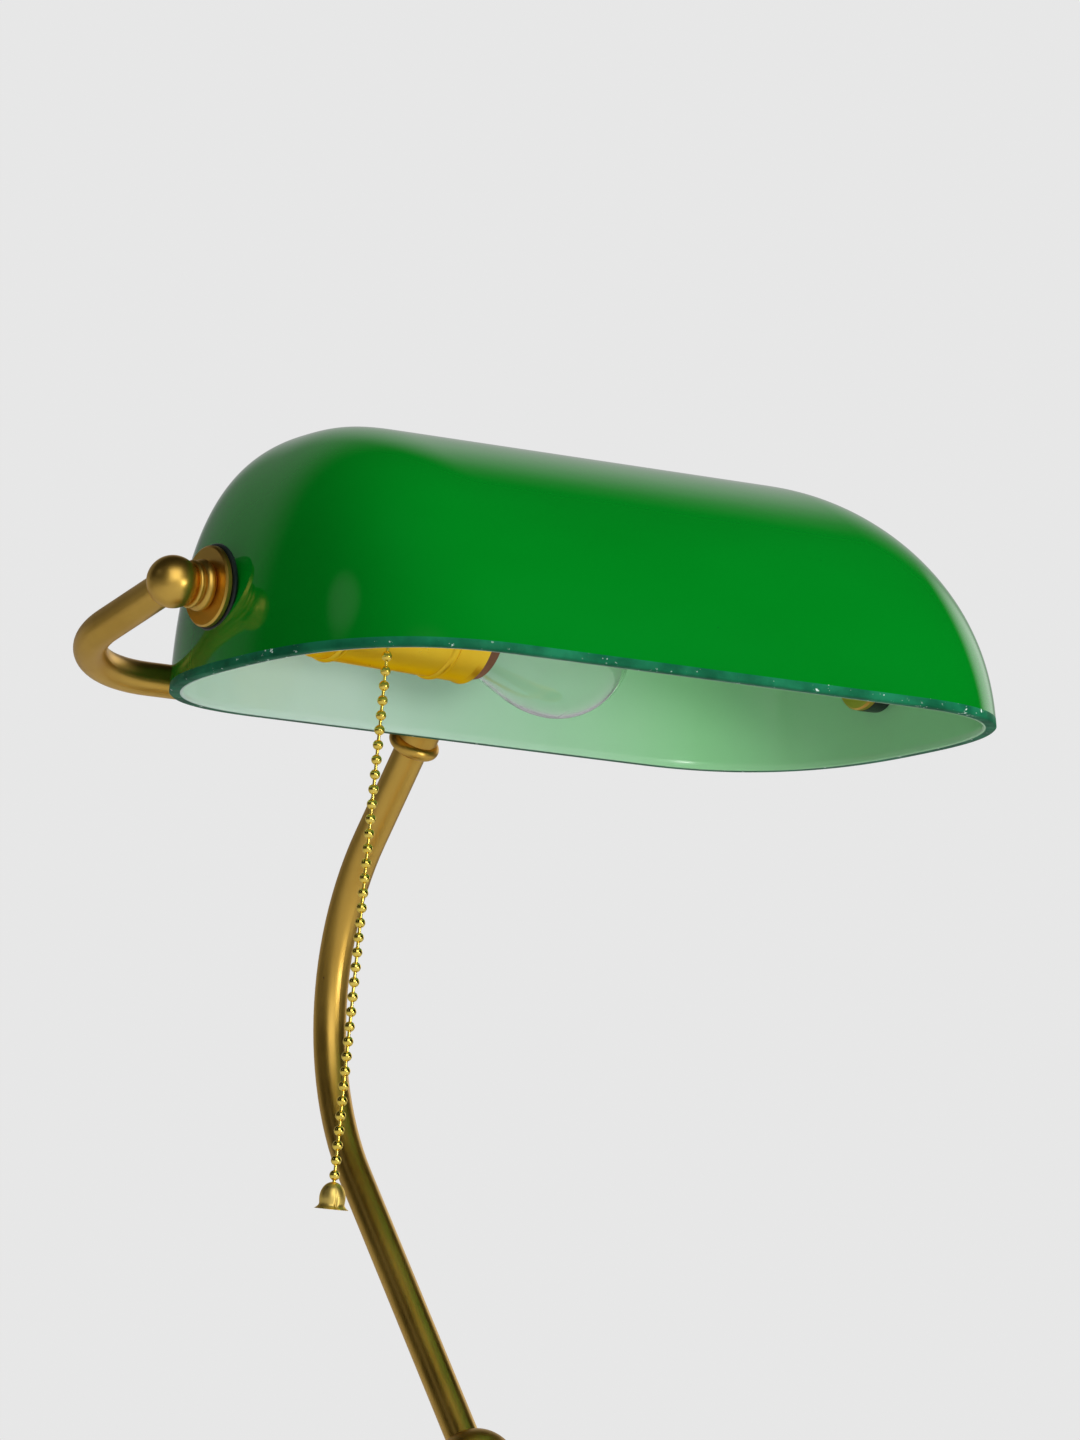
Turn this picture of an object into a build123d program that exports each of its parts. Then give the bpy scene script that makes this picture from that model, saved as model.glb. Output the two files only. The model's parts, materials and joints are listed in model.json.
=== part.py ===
from build123d import *
import os
from math import cos, pi, radians, sin

# Banker desk lamp. Millimetres, +Z up, +X along the shade, -Y to the front.
# The origin is the middle of the felt under the base, below the shade's pivot axis.

os.makedirs("parts", exist_ok=True)

# Base
base_diameter = 165.0
base_rim_height = 13.0
base_rim_round = 2.0
base_rim_ledge = 6.5
base_dome_head = 0.46
base_step = 6.0
base_height = 33.0
shell_wall = 1.6
felt_thickness = 2.0
felt_inset = 1.5
weight_gap = 2.0
weight_rim_height = 9.0
weight_height = 18.0
weight_inset = 8.0
weight_shoulder = 0.62
nut_recess_radius = 15.0
nut_recess_depth = 8.0
nut_thickness = 4.5
washer_thickness = 1.5
washer_radius = 12.0
nut_flat_radius = 8.0
cord_bore = 6.6
bushing_wall = 1.2
neck_height = 19.0
neck_radius = 7.6
foot_ball_diameter = 26.0
foot_ball_seat = 10.0
nipple_stop = 4.0
neck_foot_radius = 15.0
neck_collar_radius = 11.0
bushing_reach = 5.0
bushing_lip = 0.9

# Tube stem and yoke
tube_diameter = 10.5
tube_wall = 1.0
nipple_diameter = 10.0
nipple_bore = 6.8
stem_foot_lean = 45.0
stem_top_lean = 33.0
stem_bend_radius = 85.0
tube_seat = 5.0
crossbar_back = 70.0
crossbar_below = 26.4
arm_bend_radius = 37.0
hub_diameter = 15.0
hub_length = 34.0
hub_web = 8.0
hub_boss_diameter = 13.4
ring_diameter = 16.6
ring_height = 4.4
ring_distance = 9.0
grub_diameter = 3.0
grub_hex_radius = 0.75
grub_hex_depth = 1.2
grub_sink = 0.2

# Pivots
pivot_height = 320.0
arm_ball_diameter = 16.0
stud_diameter = 8.0
stud_bore = 5.0
sleeve_waist = 6.5
sleeve_bead = 7.3
sleeve_bulge = 7.9
sleeve_start = 5.5
sleeve_length = 5.8
flange_diameter = 24.6
flange_thickness = 2.1
outer_gasket_thickness = 2.5
inner_gasket_thickness = 3.7
outer_gasket_diameter = 26.4
inner_gasket_diameter = 23.0
inner_nut_diameter = 22.8
inner_nut_thickness = 2.2
inner_nut_rim = 0.6

# Glass shade
shade_length = 256.0
shade_width = 148.8
shade_height = 83.2
glass_wall = 4.0
shade_straight = 138.4
shade_lean = 26.8
end_draft = 6.3
side_draft = 4.0
plan_power = 2.6
end_power = 2.32
side_power = 2.2
pivot_above_rim = 26.2
pivot_behind_middle = 14.8
shade_tilt = -8.5
glass_hole_gap = 1.0
shade_levels = (0, 12, 24, 36, 47, 57, 66, 73, 78, 82)
outline_step = 18

# Socket
socket_sag = 2.0
coupling_length = 12.0
coupling_flats = 14.0
coupling_gap = 1.5
cap_diameter = 33.0
sheet_wall = 0.8
cap_neck_length = 5.0
cap_neck_diameter = 13.0
cap_dome_length = 9.0
cap_length = 40.0
cap_bead_at = 16.7
shell_length = 25.9
shell_bead_at = 14.4
shell_lap = 6.0
bead_rise = 0.8
bead_half_width = 1.4
liner_wall = 0.8
liner_proud = 4.5
bulb_cap_sink = 0.8
shell_step = 0.2
shell_lip = 0.3
screw_shell_length = 24.0
screw_shell_wall = 0.5
body_length = 28.0
screw_shell_drop = 2.6
terminal_reach = 15.0
terminal_radius = 2.8
terminal_along = 14.0
terminal_sink = 1.2
terminal_slot = 0.8
spring_wire = 0.5
spring_turns = 3
thread_pitch = 3.63
thread_depth = 0.55
lever_width = 3.0
lever_length = 11.0
lever_thickness = 2.0
pin_diameter = 2.0
pin_overhang = 3.0
lever_pin_back = -4.0
lever_boss = 1.6
lever_pivot_share = 4.0
contact_radius = 2.2

# Bulb
bulb_diameter = 45.2
bulb_length = 77.0
bulb_cap_diameter = 26.4
bulb_cap_length = 19.0
bulb_insulator_length = 3.6
bulb_tip_height = 1.4
bulb_glass_wall = 0.8
mount_length = 17.0
filament_radius = 9.0
filament_start = -10
filament_sweep = 200
filament_wire = 0.5
lead_wire = 0.5
mount_foot = 3.0
filament_clear = 3.0

# Pull chain
chain_reach = 21.5
chain_at = 24.4
bead_diameter = 3.2
bead_pitch = 4.47
chain_wire = 1.0
head_beads = 3
hanging_beads = 36
spout_diameter = 7.2
spout_flare = 9.2
spout_drop = 7.6
spout_rise = 7.4
spout_roof = 1.0
bell_diameter = 8.4
bell_rim = 10.4
bell_height = 8.2
bell_wall = 0.6
bell_crown = 3.6
stop_length = 1.3
stop_radius = 1.3

# Clearances
running_gap = 0.05
side_gap = 0.1
seat_gap = 0.1
sag_gap = 0.4
link_gap = 0.2


# ---------------------------------------------------------------- worked-out places
tube_radius = tube_diameter / 2
stud_radius = stud_diameter / 2
base_radius = base_diameter / 2
foot_ball_radius = foot_ball_diameter / 2
foot_ball_height = base_height + neck_height + foot_ball_seat
hub_height = pivot_height - crossbar_below

# The two straight runs of the stem meet at a corner that the bend rounds.
foot_run = Vector(0, sin(radians(stem_foot_lean)), cos(radians(stem_foot_lean)))
top_run = Vector(0, sin(radians(stem_top_lean)), -cos(radians(stem_top_lean)))
corner_reach = (
    (hub_height - foot_ball_height) * sin(radians(stem_top_lean))
    + crossbar_back * cos(radians(stem_top_lean))
) / sin(radians(stem_foot_lean + stem_top_lean))
stem_corner = (corner_reach * foot_run.Y, foot_ball_height + corner_reach * foot_run.Z)


def level(height, inset):
    """Half-length and half-width of the shade's ends and sides, and its middle, at a height."""
    rise = height / (shade_height - inset)
    ends = (1 - rise**end_power) ** (1 / end_power)
    sides = (1 - rise**side_power) ** (1 / side_power)
    reach = (shade_length - shade_straight) / 2 - inset - end_draft * rise
    half_width = shade_width / 2 - inset - side_draft * rise
    return reach * ends, half_width * sides, shade_lean * (height / shade_height) ** 2


def end_wall_at_pivot():
    """How far the outside of the shade's end wall stands from the middle, on the pivot axis."""
    reach, half_width, middle = level(pivot_above_rim, 0)
    across = abs(pivot_behind_middle - middle) / half_width
    return shade_straight / 2 + reach * (1 - across**plan_power) ** (1 / plan_power)


# Everything on a pivot is placed by its distance from the middle of the arm's ball.
end_wall = end_wall_at_pivot()
flange_at = sleeve_start + sleeve_length
gasket_at = flange_at + flange_thickness + side_gap
ball_x = end_wall + gasket_at + outer_gasket_thickness
nut_at = ball_x - end_wall + glass_wall + inner_gasket_thickness + side_gap
coupling_x = ball_x - nut_at - inner_nut_thickness - coupling_gap - coupling_length / 2

# Distances along the socket, from the middle of the coupling.
cap_at = coupling_length / 2 + sag_gap
cap_end = cap_at + cap_length
shell_end = cap_end + shell_length
liner_end = shell_end + liner_proud
bulb_cap_end = liner_end - bulb_cap_sink
bulb_cap_start = bulb_cap_end - bulb_cap_length
bulb_tip_at = bulb_cap_start - bulb_insulator_length - bulb_tip_height
bulb_end = bulb_tip_at + bulb_length
globe_middle = bulb_end - bulb_diameter / 2
cap_radius = cap_diameter / 2
cap_bore = cap_radius - sheet_wall
lap_radius = cap_bore - running_gap
liner_radius = lap_radius - sheet_wall - running_gap
screw_shell_start = bulb_tip_at - screw_shell_drop
body_end = screw_shell_start - seat_gap
body_start = body_end - body_length
chain_along = cap_at + chain_at


# ---------------------------------------------------------------- planes
def pivot_plane(side):
    """Origin in an arm's ball, x towards the shade along the pivot axis, y up."""
    return Plane(origin=(side * ball_x, 0, pivot_height), x_dir=(-side, 0, 0), z_dir=(0, side, 0))


upright = Plane(origin=(0, 0, 0), x_dir=(0, 0, 1), z_dir=(0, 1, 0))
hub_plane = Plane(origin=(0, crossbar_back, hub_height), x_dir=top_run, z_dir=(1, 0, 0))
yoke_plane = Plane(
    origin=(0, crossbar_back, hub_height),
    x_dir=(1, 0, 0),
    z_dir=(0, -crossbar_below, -crossbar_back),
)
leg_reach = (crossbar_back**2 + crossbar_below**2) ** 0.5

tilt_y = Vector(0, cos(radians(shade_tilt)), sin(radians(shade_tilt)))
tilt_z = Vector(0, -sin(radians(shade_tilt)), cos(radians(shade_tilt)))
rim_middle = Vector(0, 0, pivot_height) - tilt_y * pivot_behind_middle - tilt_z * pivot_above_rim
shade_plane = Plane(origin=rim_middle, x_dir=(1, 0, 0), z_dir=tilt_z)

sag = radians(socket_sag)
socket_plane = Plane(
    origin=(-coupling_x, 0, pivot_height), x_dir=(cos(sag), 0, -sin(sag)), z_dir=(0, -1, 0)
)
chain_x = -coupling_x + chain_along * cos(sag)
chain_axis_height = pivot_height - chain_along * sin(sag)
spout_mouth = chain_axis_height - spout_drop
link_height = spout_mouth - bead_diameter / 2 - link_gap
chain_plane = Plane(
    origin=(chain_x, -chain_reach, link_height), x_dir=(0, 0, -1), z_dir=(0, -1, 0)
)


# ---------------------------------------------------------------- shared shapes
def write(piece, name):
    """Name a finished piece and write it out."""
    piece.part.label = name
    export_step(piece.part, f"parts/{name}.step")


def turned(plane, corners):
    """A piece turned about the plane's x axis, from corners given as (along, radius)."""
    with BuildPart() as piece:
        with BuildSketch(plane):
            with BuildLine():
                Polyline(*corners, close=True)
            make_face()
        revolve(axis=Axis(plane.origin, plane.x_dir))
    return piece


def ring(plane, start, end, outer, inner):
    """A plain tube or washer about the plane's x axis."""
    return turned(plane, [(start, inner), (start, outer), (end, outer), (end, inner)])


def bent_tube(plane, corners, bend):
    """A tube along straight runs joined by one bend."""
    with BuildPart() as piece:
        with BuildLine(plane) as path:
            FilletPolyline(*corners, radius=bend)
        with BuildSketch(Plane(origin=path.line @ 0, z_dir=path.line % 0)):
            Circle(tube_radius)
            Circle(tube_radius - tube_wall, mode=Mode.SUBTRACT)
        sweep()
    return piece


def shade_block(inset):
    """The solid inside the shade's outer face, or inside its inner face with an inset."""
    with BuildPart() as block:
        for turn in shade_levels:
            height = (shade_height - inset) * sin(radians(turn))
            reach, half_width, middle = level(height, inset)
            straight = shade_straight / 2
            right = []
            for swing_at in range(90, -91, -outline_step):
                swing = radians(swing_at)
                out = abs(cos(swing)) ** (2 / plan_power) if abs(swing_at) < 90 else 0
                across = abs(sin(swing)) ** (2 / plan_power) * (1 if swing > 0 else -1)
                right.append((straight + reach * out, middle + half_width * across))
            left = [(-x, y) for x, y in reversed(right)]
            with BuildSketch(shade_plane.offset(height)):
                with BuildLine():
                    Spline(*right, tangents=[(1, 0), (-1, 0)])
                    Line(right[-1], left[0])
                    Spline(*left, tangents=[(-1, 0), (1, 0)])
                    Line(left[-1], right[0])
                make_face()
        loft()
    return block


# ---------------------------------------------------------------- base
with BuildPart() as felt_pad:
    with BuildSketch(Plane.XY):
        Circle(base_radius - felt_inset)
    extrude(amount=felt_thickness)
write(felt_pad, "felt_pad")

rim_top = base_rim_height
dome_foot = base_radius - base_rim_ledge
dome_head = base_radius * base_dome_head
dome_head_height = base_height - base_step
dome_middle = ((dome_foot + dome_head) / 2 + 2.5, (rim_top + dome_head_height) / 2 + 3.0)


def dome_line(inset):
    """The stepped profile of the base from its edge to the top, moved inwards by an inset."""
    edge = base_radius - inset
    rim_foot = (edge, rim_top - base_rim_round)
    rim_head = (edge - base_rim_round, rim_top - inset / 2)
    foot = (dome_foot - inset / 2, rim_top + 1.5 - inset)
    head = (dome_head - inset / 2, dome_head_height - inset)
    step_foot = (dome_head - 3.0 - inset, base_height - 2.5 - inset)
    step_head = (dome_head - 7.0 - inset, base_height - inset)
    Line((edge, felt_thickness), rim_foot)
    ThreePointArc(rim_foot, (edge - 0.6, rim_top - 0.6), rim_head)
    Line(rim_head, foot)
    ThreePointArc(foot, (dome_middle[0] - inset / 2, dome_middle[1] - inset), head)
    Polyline(head, step_foot, step_head, (nipple_diameter / 2, base_height - inset))


with BuildPart() as base_shell:
    with BuildSketch(Plane.XZ):
        with BuildLine():
            dome_line(0)
            Polyline(
                (nipple_diameter / 2, base_height),
                (0, base_height),
                (0, felt_thickness),
                (base_radius, felt_thickness),
            )
        make_face()
    revolve(axis=Axis.Z)
    with BuildSketch(Plane.XZ):
        with BuildLine():
            dome_line(shell_wall)
            Polyline(
                (nipple_diameter / 2, base_height - shell_wall),
                (0, base_height - shell_wall),
                (0, felt_thickness),
                (base_radius - shell_wall, felt_thickness),
            )
        make_face()
    revolve(axis=Axis.Z, mode=Mode.SUBTRACT)
    with BuildSketch(Plane.XY.offset(base_height)):
        Circle(nipple_diameter / 2 + seat_gap)
    extrude(amount=-2 * shell_wall, mode=Mode.SUBTRACT)
    inlet_height = (felt_thickness + rim_top - base_rim_round) / 2 + 0.4
    with BuildSketch(Plane.XZ.offset(-base_radius - 1)):
        with Locations((0, inlet_height)):
            Circle(cord_bore / 2 + bushing_wall + seat_gap)
    extrude(amount=2 * shell_wall + 2, mode=Mode.SUBTRACT)
write(base_shell, "base_shell")

weight_radius = base_radius - shell_wall - weight_gap - weight_inset
weight_bottom = felt_thickness + 0.5
with BuildPart() as base_weight:
    with BuildSketch(Plane.XZ):
        with BuildLine():
            Polyline(
                (nipple_diameter / 2 + seat_gap, weight_bottom),
                (weight_radius, weight_bottom),
                (weight_radius, weight_bottom + weight_rim_height),
                (weight_radius * weight_shoulder, weight_bottom + weight_height),
                (nipple_diameter / 2 + seat_gap, weight_bottom + weight_height),
                close=True,
            )
        make_face()
    revolve(axis=Axis.Z)
    with BuildSketch(Plane.XY.offset(weight_bottom)):
        Circle(nut_recess_radius)
    extrude(amount=nut_recess_depth, mode=Mode.SUBTRACT)
    with BuildSketch(Plane.XY.offset(weight_bottom)):
        with Locations((0, base_radius / 2)):
            Rectangle(cord_bore + 2, base_radius)
    extrude(amount=cord_bore + 1, mode=Mode.SUBTRACT)
write(base_weight, "base_weight")

nut_top = weight_bottom + nut_recess_depth
washer_bore = nipple_diameter / 2 + seat_gap
base_washer = ring(upright, nut_top - washer_thickness, nut_top, washer_radius, washer_bore)
write(base_washer, "base_washer")

with BuildPart() as base_nut:
    with BuildSketch(Plane.XY.offset(nut_top - washer_thickness - nut_thickness)):
        RegularPolygon(nut_flat_radius, 6, major_radius=False)
        Circle(nipple_diameter / 2, mode=Mode.SUBTRACT)
    extrude(amount=nut_thickness)
write(base_nut, "base_nut")

base_nipple = ring(
    upright, weight_bottom + 0.5, foot_ball_height - nipple_stop, nipple_diameter / 2, nipple_bore / 2
)
write(base_nipple, "base_nipple")

neck_top = base_height + neck_height
neck_bore = nipple_diameter / 2 + seat_gap
base_neck = turned(
    upright,
    [
        (base_height, neck_bore),
        (base_height, neck_foot_radius),
        (base_height + 1.5, neck_foot_radius + 0.6),
        (base_height + 3.0, neck_foot_radius),
        (base_height + 4.0, 12.0),
        (base_height + 7.0, 9.2),
        (base_height + 0.58 * neck_height, neck_radius),
        (neck_top - 4.5, 8.6),
        (neck_top - 3.0, neck_collar_radius - 0.4),
        (neck_top - 1.5, neck_collar_radius),
        (neck_top, neck_collar_radius - 0.6),
        (neck_top, neck_bore),
    ],
)
write(base_neck, "base_neck")

with BuildPart() as foot_ball:
    with BuildSketch(Plane.XZ):
        with BuildLine():
            flat = (foot_ball_radius**2 - foot_ball_seat**2) ** 0.5
            top = (0, foot_ball_height + foot_ball_radius)
            ThreePointArc((flat, neck_top), (foot_ball_radius, foot_ball_height), top)
            Polyline(top, (0, neck_top), (flat, neck_top))
        make_face()
    revolve(axis=Axis.Z)
    with BuildSketch(Plane.XY.offset(neck_top)):
        Circle(nipple_diameter / 2)
    extrude(amount=foot_ball_seat - nipple_stop, mode=Mode.SUBTRACT)
    with BuildSketch(Plane.XY.offset(neck_top)):
        Circle(nipple_bore / 2)
    extrude(amount=foot_ball_seat, mode=Mode.SUBTRACT)
    with BuildSketch(Plane(origin=(0, 0, foot_ball_height), z_dir=foot_run)):
        Circle(nipple_bore / 2)
    extrude(amount=tube_seat, mode=Mode.SUBTRACT)
    foot_seat = Vector(0, 0, foot_ball_height) + foot_run * tube_seat
    with BuildSketch(Plane(origin=foot_seat, z_dir=foot_run)):
        Circle(tube_radius)
    extrude(amount=foot_ball_radius, mode=Mode.SUBTRACT)
write(foot_ball, "foot_ball")

bushing_radius = cord_bore / 2 + bushing_wall
cord_bushing = turned(
    Plane(origin=(0, base_radius, inlet_height), x_dir=(0, 1, 0), z_dir=(1, 0, 0)),
    [
        (-bushing_reach, cord_bore / 2),
        (-bushing_reach, bushing_radius),
        (0.3, bushing_radius),
        (0.3, bushing_radius + bushing_lip),
        (1.6, bushing_radius + 0.5),
        (2.0, cord_bore / 2),
    ],
)
write(cord_bushing, "cord_bushing")

# ---------------------------------------------------------------- stem and hub
stem_foot = (tube_seat * foot_run.Y, foot_ball_height + tube_seat * foot_run.Z)
stem_top = (crossbar_back + tube_seat * top_run.Y, hub_height + tube_seat * top_run.Z)
stem_tube = bent_tube(Plane.YZ, [stem_foot, stem_corner, stem_top], stem_bend_radius)
write(stem_tube, "stem_tube")

with BuildPart() as stem_ring:
    with BuildSketch(hub_plane):
        with BuildLine():
            start = (ring_distance, hub_boss_diameter / 2)
            end = (ring_distance + ring_height, hub_boss_diameter / 2)
            ThreePointArc(start, (ring_distance + ring_height / 2, ring_diameter / 2), end)
            Polyline(
                end,
                (ring_distance + ring_height, tube_radius + running_gap),
                (ring_distance, tube_radius + running_gap),
                start,
            )
        make_face()
    revolve(axis=Axis(hub_plane.origin, hub_plane.x_dir))
write(stem_ring, "stem_ring")

with BuildPart() as hub:
    with BuildSketch(Plane.YZ.offset(-hub_length / 2)):
        with Locations((crossbar_back, hub_height)):
            Circle(hub_diameter / 2)
    extrude(amount=hub_length)
    chamfer(hub.edges().filter_by(GeomType.CIRCLE), 1.0)
    with BuildSketch(Plane(origin=hub_plane.origin, z_dir=hub_plane.x_dir)):
        Circle(hub_boss_diameter / 2)
    extrude(amount=ring_distance)
    for side in (-1, 1):
        with BuildSketch(Plane(origin=(side * hub_web, crossbar_back, hub_height), z_dir=(side, 0, 0))):
            Circle(tube_radius)
        extrude(amount=hub_length / 2, mode=Mode.SUBTRACT)
    with BuildSketch(Plane.YZ.offset(-hub_web)):
        with Locations((crossbar_back, hub_height)):
            Circle(nipple_bore / 2)
    extrude(amount=2 * hub_web, mode=Mode.SUBTRACT)
    with BuildSketch(Plane(origin=hub_plane.origin, z_dir=hub_plane.x_dir)):
        Circle(nipple_bore / 2)
    extrude(amount=tube_seat, mode=Mode.SUBTRACT)
    with BuildSketch(Plane(origin=hub_plane.origin + top_run * tube_seat, z_dir=top_run)):
        Circle(tube_radius)
    extrude(amount=ring_distance, mode=Mode.SUBTRACT)
    grub_x = (hub_web + hub_length / 2) / 2
    with BuildSketch(Plane(origin=hub_plane.origin, x_dir=(1, 0, 0), z_dir=-yoke_plane.y_dir)):
        with Locations((grub_x, 0), (-grub_x, 0)):
            Circle(grub_diameter / 2)
    extrude(amount=hub_diameter, mode=Mode.SUBTRACT)
write(hub, "hub")

with BuildPart() as hub_screws:
    grub_plane = Plane(
        origin=hub_plane.origin - yoke_plane.y_dir * tube_radius,
        x_dir=(1, 0, 0),
        z_dir=-yoke_plane.y_dir,
    )
    with BuildSketch(grub_plane):
        with Locations((grub_x, 0), (-grub_x, 0)):
            Circle(grub_diameter / 2)
    grub_length = hub_diameter / 2 - tube_radius - grub_sink
    extrude(amount=grub_length)
    with BuildSketch(grub_plane.offset(grub_length)):
        with Locations((grub_x, 0), (-grub_x, 0)):
            RegularPolygon(grub_hex_radius, 6)
    extrude(amount=-grub_hex_depth, mode=Mode.SUBTRACT)
write(hub_screws, "hub_screws")

# ---------------------------------------------------------------- arms and pivots
glass_block = shade_block(0)
glass_core = shade_block(glass_wall)

for side, hand in ((-1, "left"), (1, "right")):
    corners = [(side * hub_web, 0), (side * ball_x, 0), (side * ball_x, leg_reach - tube_seat)]
    write(bent_tube(yoke_plane, corners, arm_bend_radius), f"arm_{hand}")

    axis_plane = pivot_plane(side)
    axis = Axis(axis_plane.origin, axis_plane.x_dir)
    ball_radius = arm_ball_diameter / 2
    with BuildPart() as arm_ball:
        with BuildSketch(axis_plane):
            with BuildLine():
                flat = (ball_radius**2 - sleeve_start**2) ** 0.5
                ThreePointArc((-ball_radius, 0), (0, ball_radius), (sleeve_start, flat))
                Polyline((sleeve_start, flat), (sleeve_start, 0), (-ball_radius, 0))
            make_face()
        revolve(axis=axis)
        with BuildSketch(Plane(origin=axis_plane.origin, z_dir=axis_plane.x_dir)):
            Circle(stud_radius)
        extrude(amount=ball_radius, mode=Mode.SUBTRACT)
        with BuildSketch(Plane(origin=axis_plane.origin, z_dir=-yoke_plane.y_dir)):
            Circle(stud_bore / 2)
        extrude(amount=tube_seat, mode=Mode.SUBTRACT)
        seat = axis_plane.origin - yoke_plane.y_dir * tube_seat
        with BuildSketch(Plane(origin=seat, z_dir=-yoke_plane.y_dir)):
            Circle(tube_radius)
        extrude(amount=ball_radius, mode=Mode.SUBTRACT)
    write(arm_ball, f"arm_ball_{hand}")

    with BuildPart() as pivot_sleeve:
        with BuildSketch(axis_plane):
            with BuildLine():
                ThreePointArc(
                    (sleeve_start, sleeve_waist),
                    (sleeve_start + 0.8, sleeve_bead),
                    (sleeve_start + 1.6, sleeve_waist),
                )
                Line((sleeve_start + 1.6, sleeve_waist), (sleeve_start + 2.2, sleeve_waist))
                ThreePointArc(
                    (sleeve_start + 2.2, sleeve_waist),
                    (sleeve_start + 4.0, sleeve_bulge),
                    (flange_at, sleeve_waist),
                )
                Polyline(
                    (flange_at, sleeve_waist),
                    (flange_at, stud_radius),
                    (sleeve_start, stud_radius),
                    (sleeve_start, sleeve_waist),
                )
            make_face()
        revolve(axis=axis)
    write(pivot_sleeve, f"pivot_sleeve_{hand}")

    flange_radius = flange_diameter / 2
    flange_end = flange_at + flange_thickness
    pivot_flange = turned(
        axis_plane,
        [
            (flange_at, stud_radius),
            (flange_at, flange_radius - 0.6),
            (flange_at + 0.6, flange_radius),
            (flange_end - 0.3, flange_radius),
            (flange_end, flange_radius - 0.3),
            (flange_end, stud_radius),
        ],
    )
    write(pivot_flange, f"pivot_flange_{hand}")

    face_plane = Plane(origin=axis_plane.origin, z_dir=axis_plane.x_dir)
    with BuildPart() as outer_gasket:
        with BuildSketch(face_plane.offset(gasket_at)):
            Circle(outer_gasket_diameter / 2)
            Circle(stud_radius + running_gap, mode=Mode.SUBTRACT)
        extrude(amount=outer_gasket_thickness + 2 * glass_wall)
        add(glass_block.part, mode=Mode.SUBTRACT)
    write(outer_gasket, f"outer_gasket_{hand}")

    with BuildPart() as inner_gasket:
        with BuildSketch(face_plane.offset(nut_at - side_gap)):
            Circle(inner_gasket_diameter / 2)
            Circle(stud_radius + running_gap, mode=Mode.SUBTRACT)
        extrude(amount=-inner_gasket_thickness - 2 * glass_wall)
        add(glass_core.part, mode=Mode.INTERSECT)
    write(inner_gasket, f"inner_gasket_{hand}")

    nut_end = nut_at + inner_nut_thickness
    nut_radius = inner_nut_diameter / 2
    inner_nut = turned(
        axis_plane,
        [
            (nut_at, stud_radius),
            (nut_at, nut_radius),
            (nut_end - inner_nut_rim, nut_radius),
            (nut_end, nut_radius - inner_nut_rim),
            (nut_end, stud_radius),
        ],
    )
    write(inner_nut, f"inner_nut_{hand}")

left_plane = pivot_plane(-1)
right_plane = pivot_plane(1)
nipple_end = ball_x - coupling_x - 1.0
pivot_nipple = ring(left_plane, 0.5, nipple_end, stud_radius, stud_bore / 2)
write(pivot_nipple, "pivot_nipple_left")

stud_end = nut_at + inner_nut_thickness - 0.3
pivot_stud = turned(
    right_plane,
    [
        (0.5, 0),
        (0.5, stud_radius),
        (stud_end, stud_radius),
        (stud_end + 0.5, stud_radius - 1),
        (stud_end + 0.5, 0),
    ],
)
write(pivot_stud, "pivot_stud_right")

# ---------------------------------------------------------------- shade
with BuildPart() as glass_shade:
    add(glass_block.part)
    add(glass_core.part, mode=Mode.SUBTRACT)
    with BuildSketch(Plane.YZ.offset(-shade_length)):
        with Locations((0, pivot_height)):
            Circle(stud_radius + glass_hole_gap)
    extrude(amount=2 * shade_length, mode=Mode.SUBTRACT)
write(glass_shade, "glass_shade")

# ---------------------------------------------------------------- socket
with BuildPart() as socket_coupling:
    with BuildSketch(Plane.YZ.offset(-coupling_x - coupling_length / 2)):
        with Locations((0, pivot_height)):
            RegularPolygon(coupling_flats / 2, 6, major_radius=False)
    extrude(amount=coupling_length)
    with BuildSketch(Plane.YZ.offset(-coupling_x - coupling_length / 2)):
        with Locations((0, pivot_height)):
            Circle(stud_radius)
    extrude(amount=coupling_length / 2, mode=Mode.SUBTRACT)
    with BuildSketch(Plane(origin=socket_plane.origin, z_dir=socket_plane.x_dir)):
        Circle(stud_radius)
    extrude(amount=coupling_length, mode=Mode.SUBTRACT)
write(socket_coupling, "socket_coupling")

socket_nipple = ring(socket_plane, 1.0, cap_at + cap_neck_length + 2.0, stud_radius, stud_bore / 2)
write(socket_nipple, "socket_nipple")


def bead_line(middle, radius):
    """A rolled bead round a sheet-metal cylinder."""
    ThreePointArc(
        (middle - bead_half_width, radius),
        (middle, radius + bead_rise),
        (middle + bead_half_width, radius),
    )


cap_bead = cap_at + cap_bead_at
dome_start = cap_at + cap_neck_length
dome_end = dome_start + cap_dome_length
with BuildPart() as socket_cap:
    with BuildSketch(socket_plane):
        with BuildLine():
            Polyline(
                (dome_start + sheet_wall, stud_radius),
                (cap_at, stud_radius),
                (cap_at, cap_neck_diameter / 2),
                (dome_start, cap_neck_diameter / 2),
            )
            Spline(
                (dome_start, cap_neck_diameter / 2),
                (dome_end, cap_radius),
                tangents=[(0.4, 1), (1, 0)],
            )
            Line((dome_end, cap_radius), (cap_bead - bead_half_width, cap_radius))
            bead_line(cap_bead, cap_radius)
            Polyline(
                (cap_bead + bead_half_width, cap_radius),
                (cap_end, cap_radius),
                (cap_end, cap_bore),
                (dome_end, cap_bore),
            )
            Spline(
                (dome_end, cap_bore),
                (dome_start + sheet_wall, cap_neck_diameter / 2),
                tangents=[(-1, 0), (-0.4, -1)],
            )
            Line(
                (dome_start + sheet_wall, cap_neck_diameter / 2),
                (dome_start + sheet_wall, stud_radius),
            )
        make_face()
    revolve(axis=Axis(socket_plane.origin, socket_plane.x_dir))
    spout_side = Plane(
        origin=(chain_x, 0, chain_axis_height), x_dir=socket_plane.x_dir, z_dir=(0, -1, 0)
    )
    with BuildSketch(spout_side.offset(cap_radius - 3)):
        Circle(2.6)
    extrude(amount=5, mode=Mode.SUBTRACT)
write(socket_cap, "socket_cap")

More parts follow.
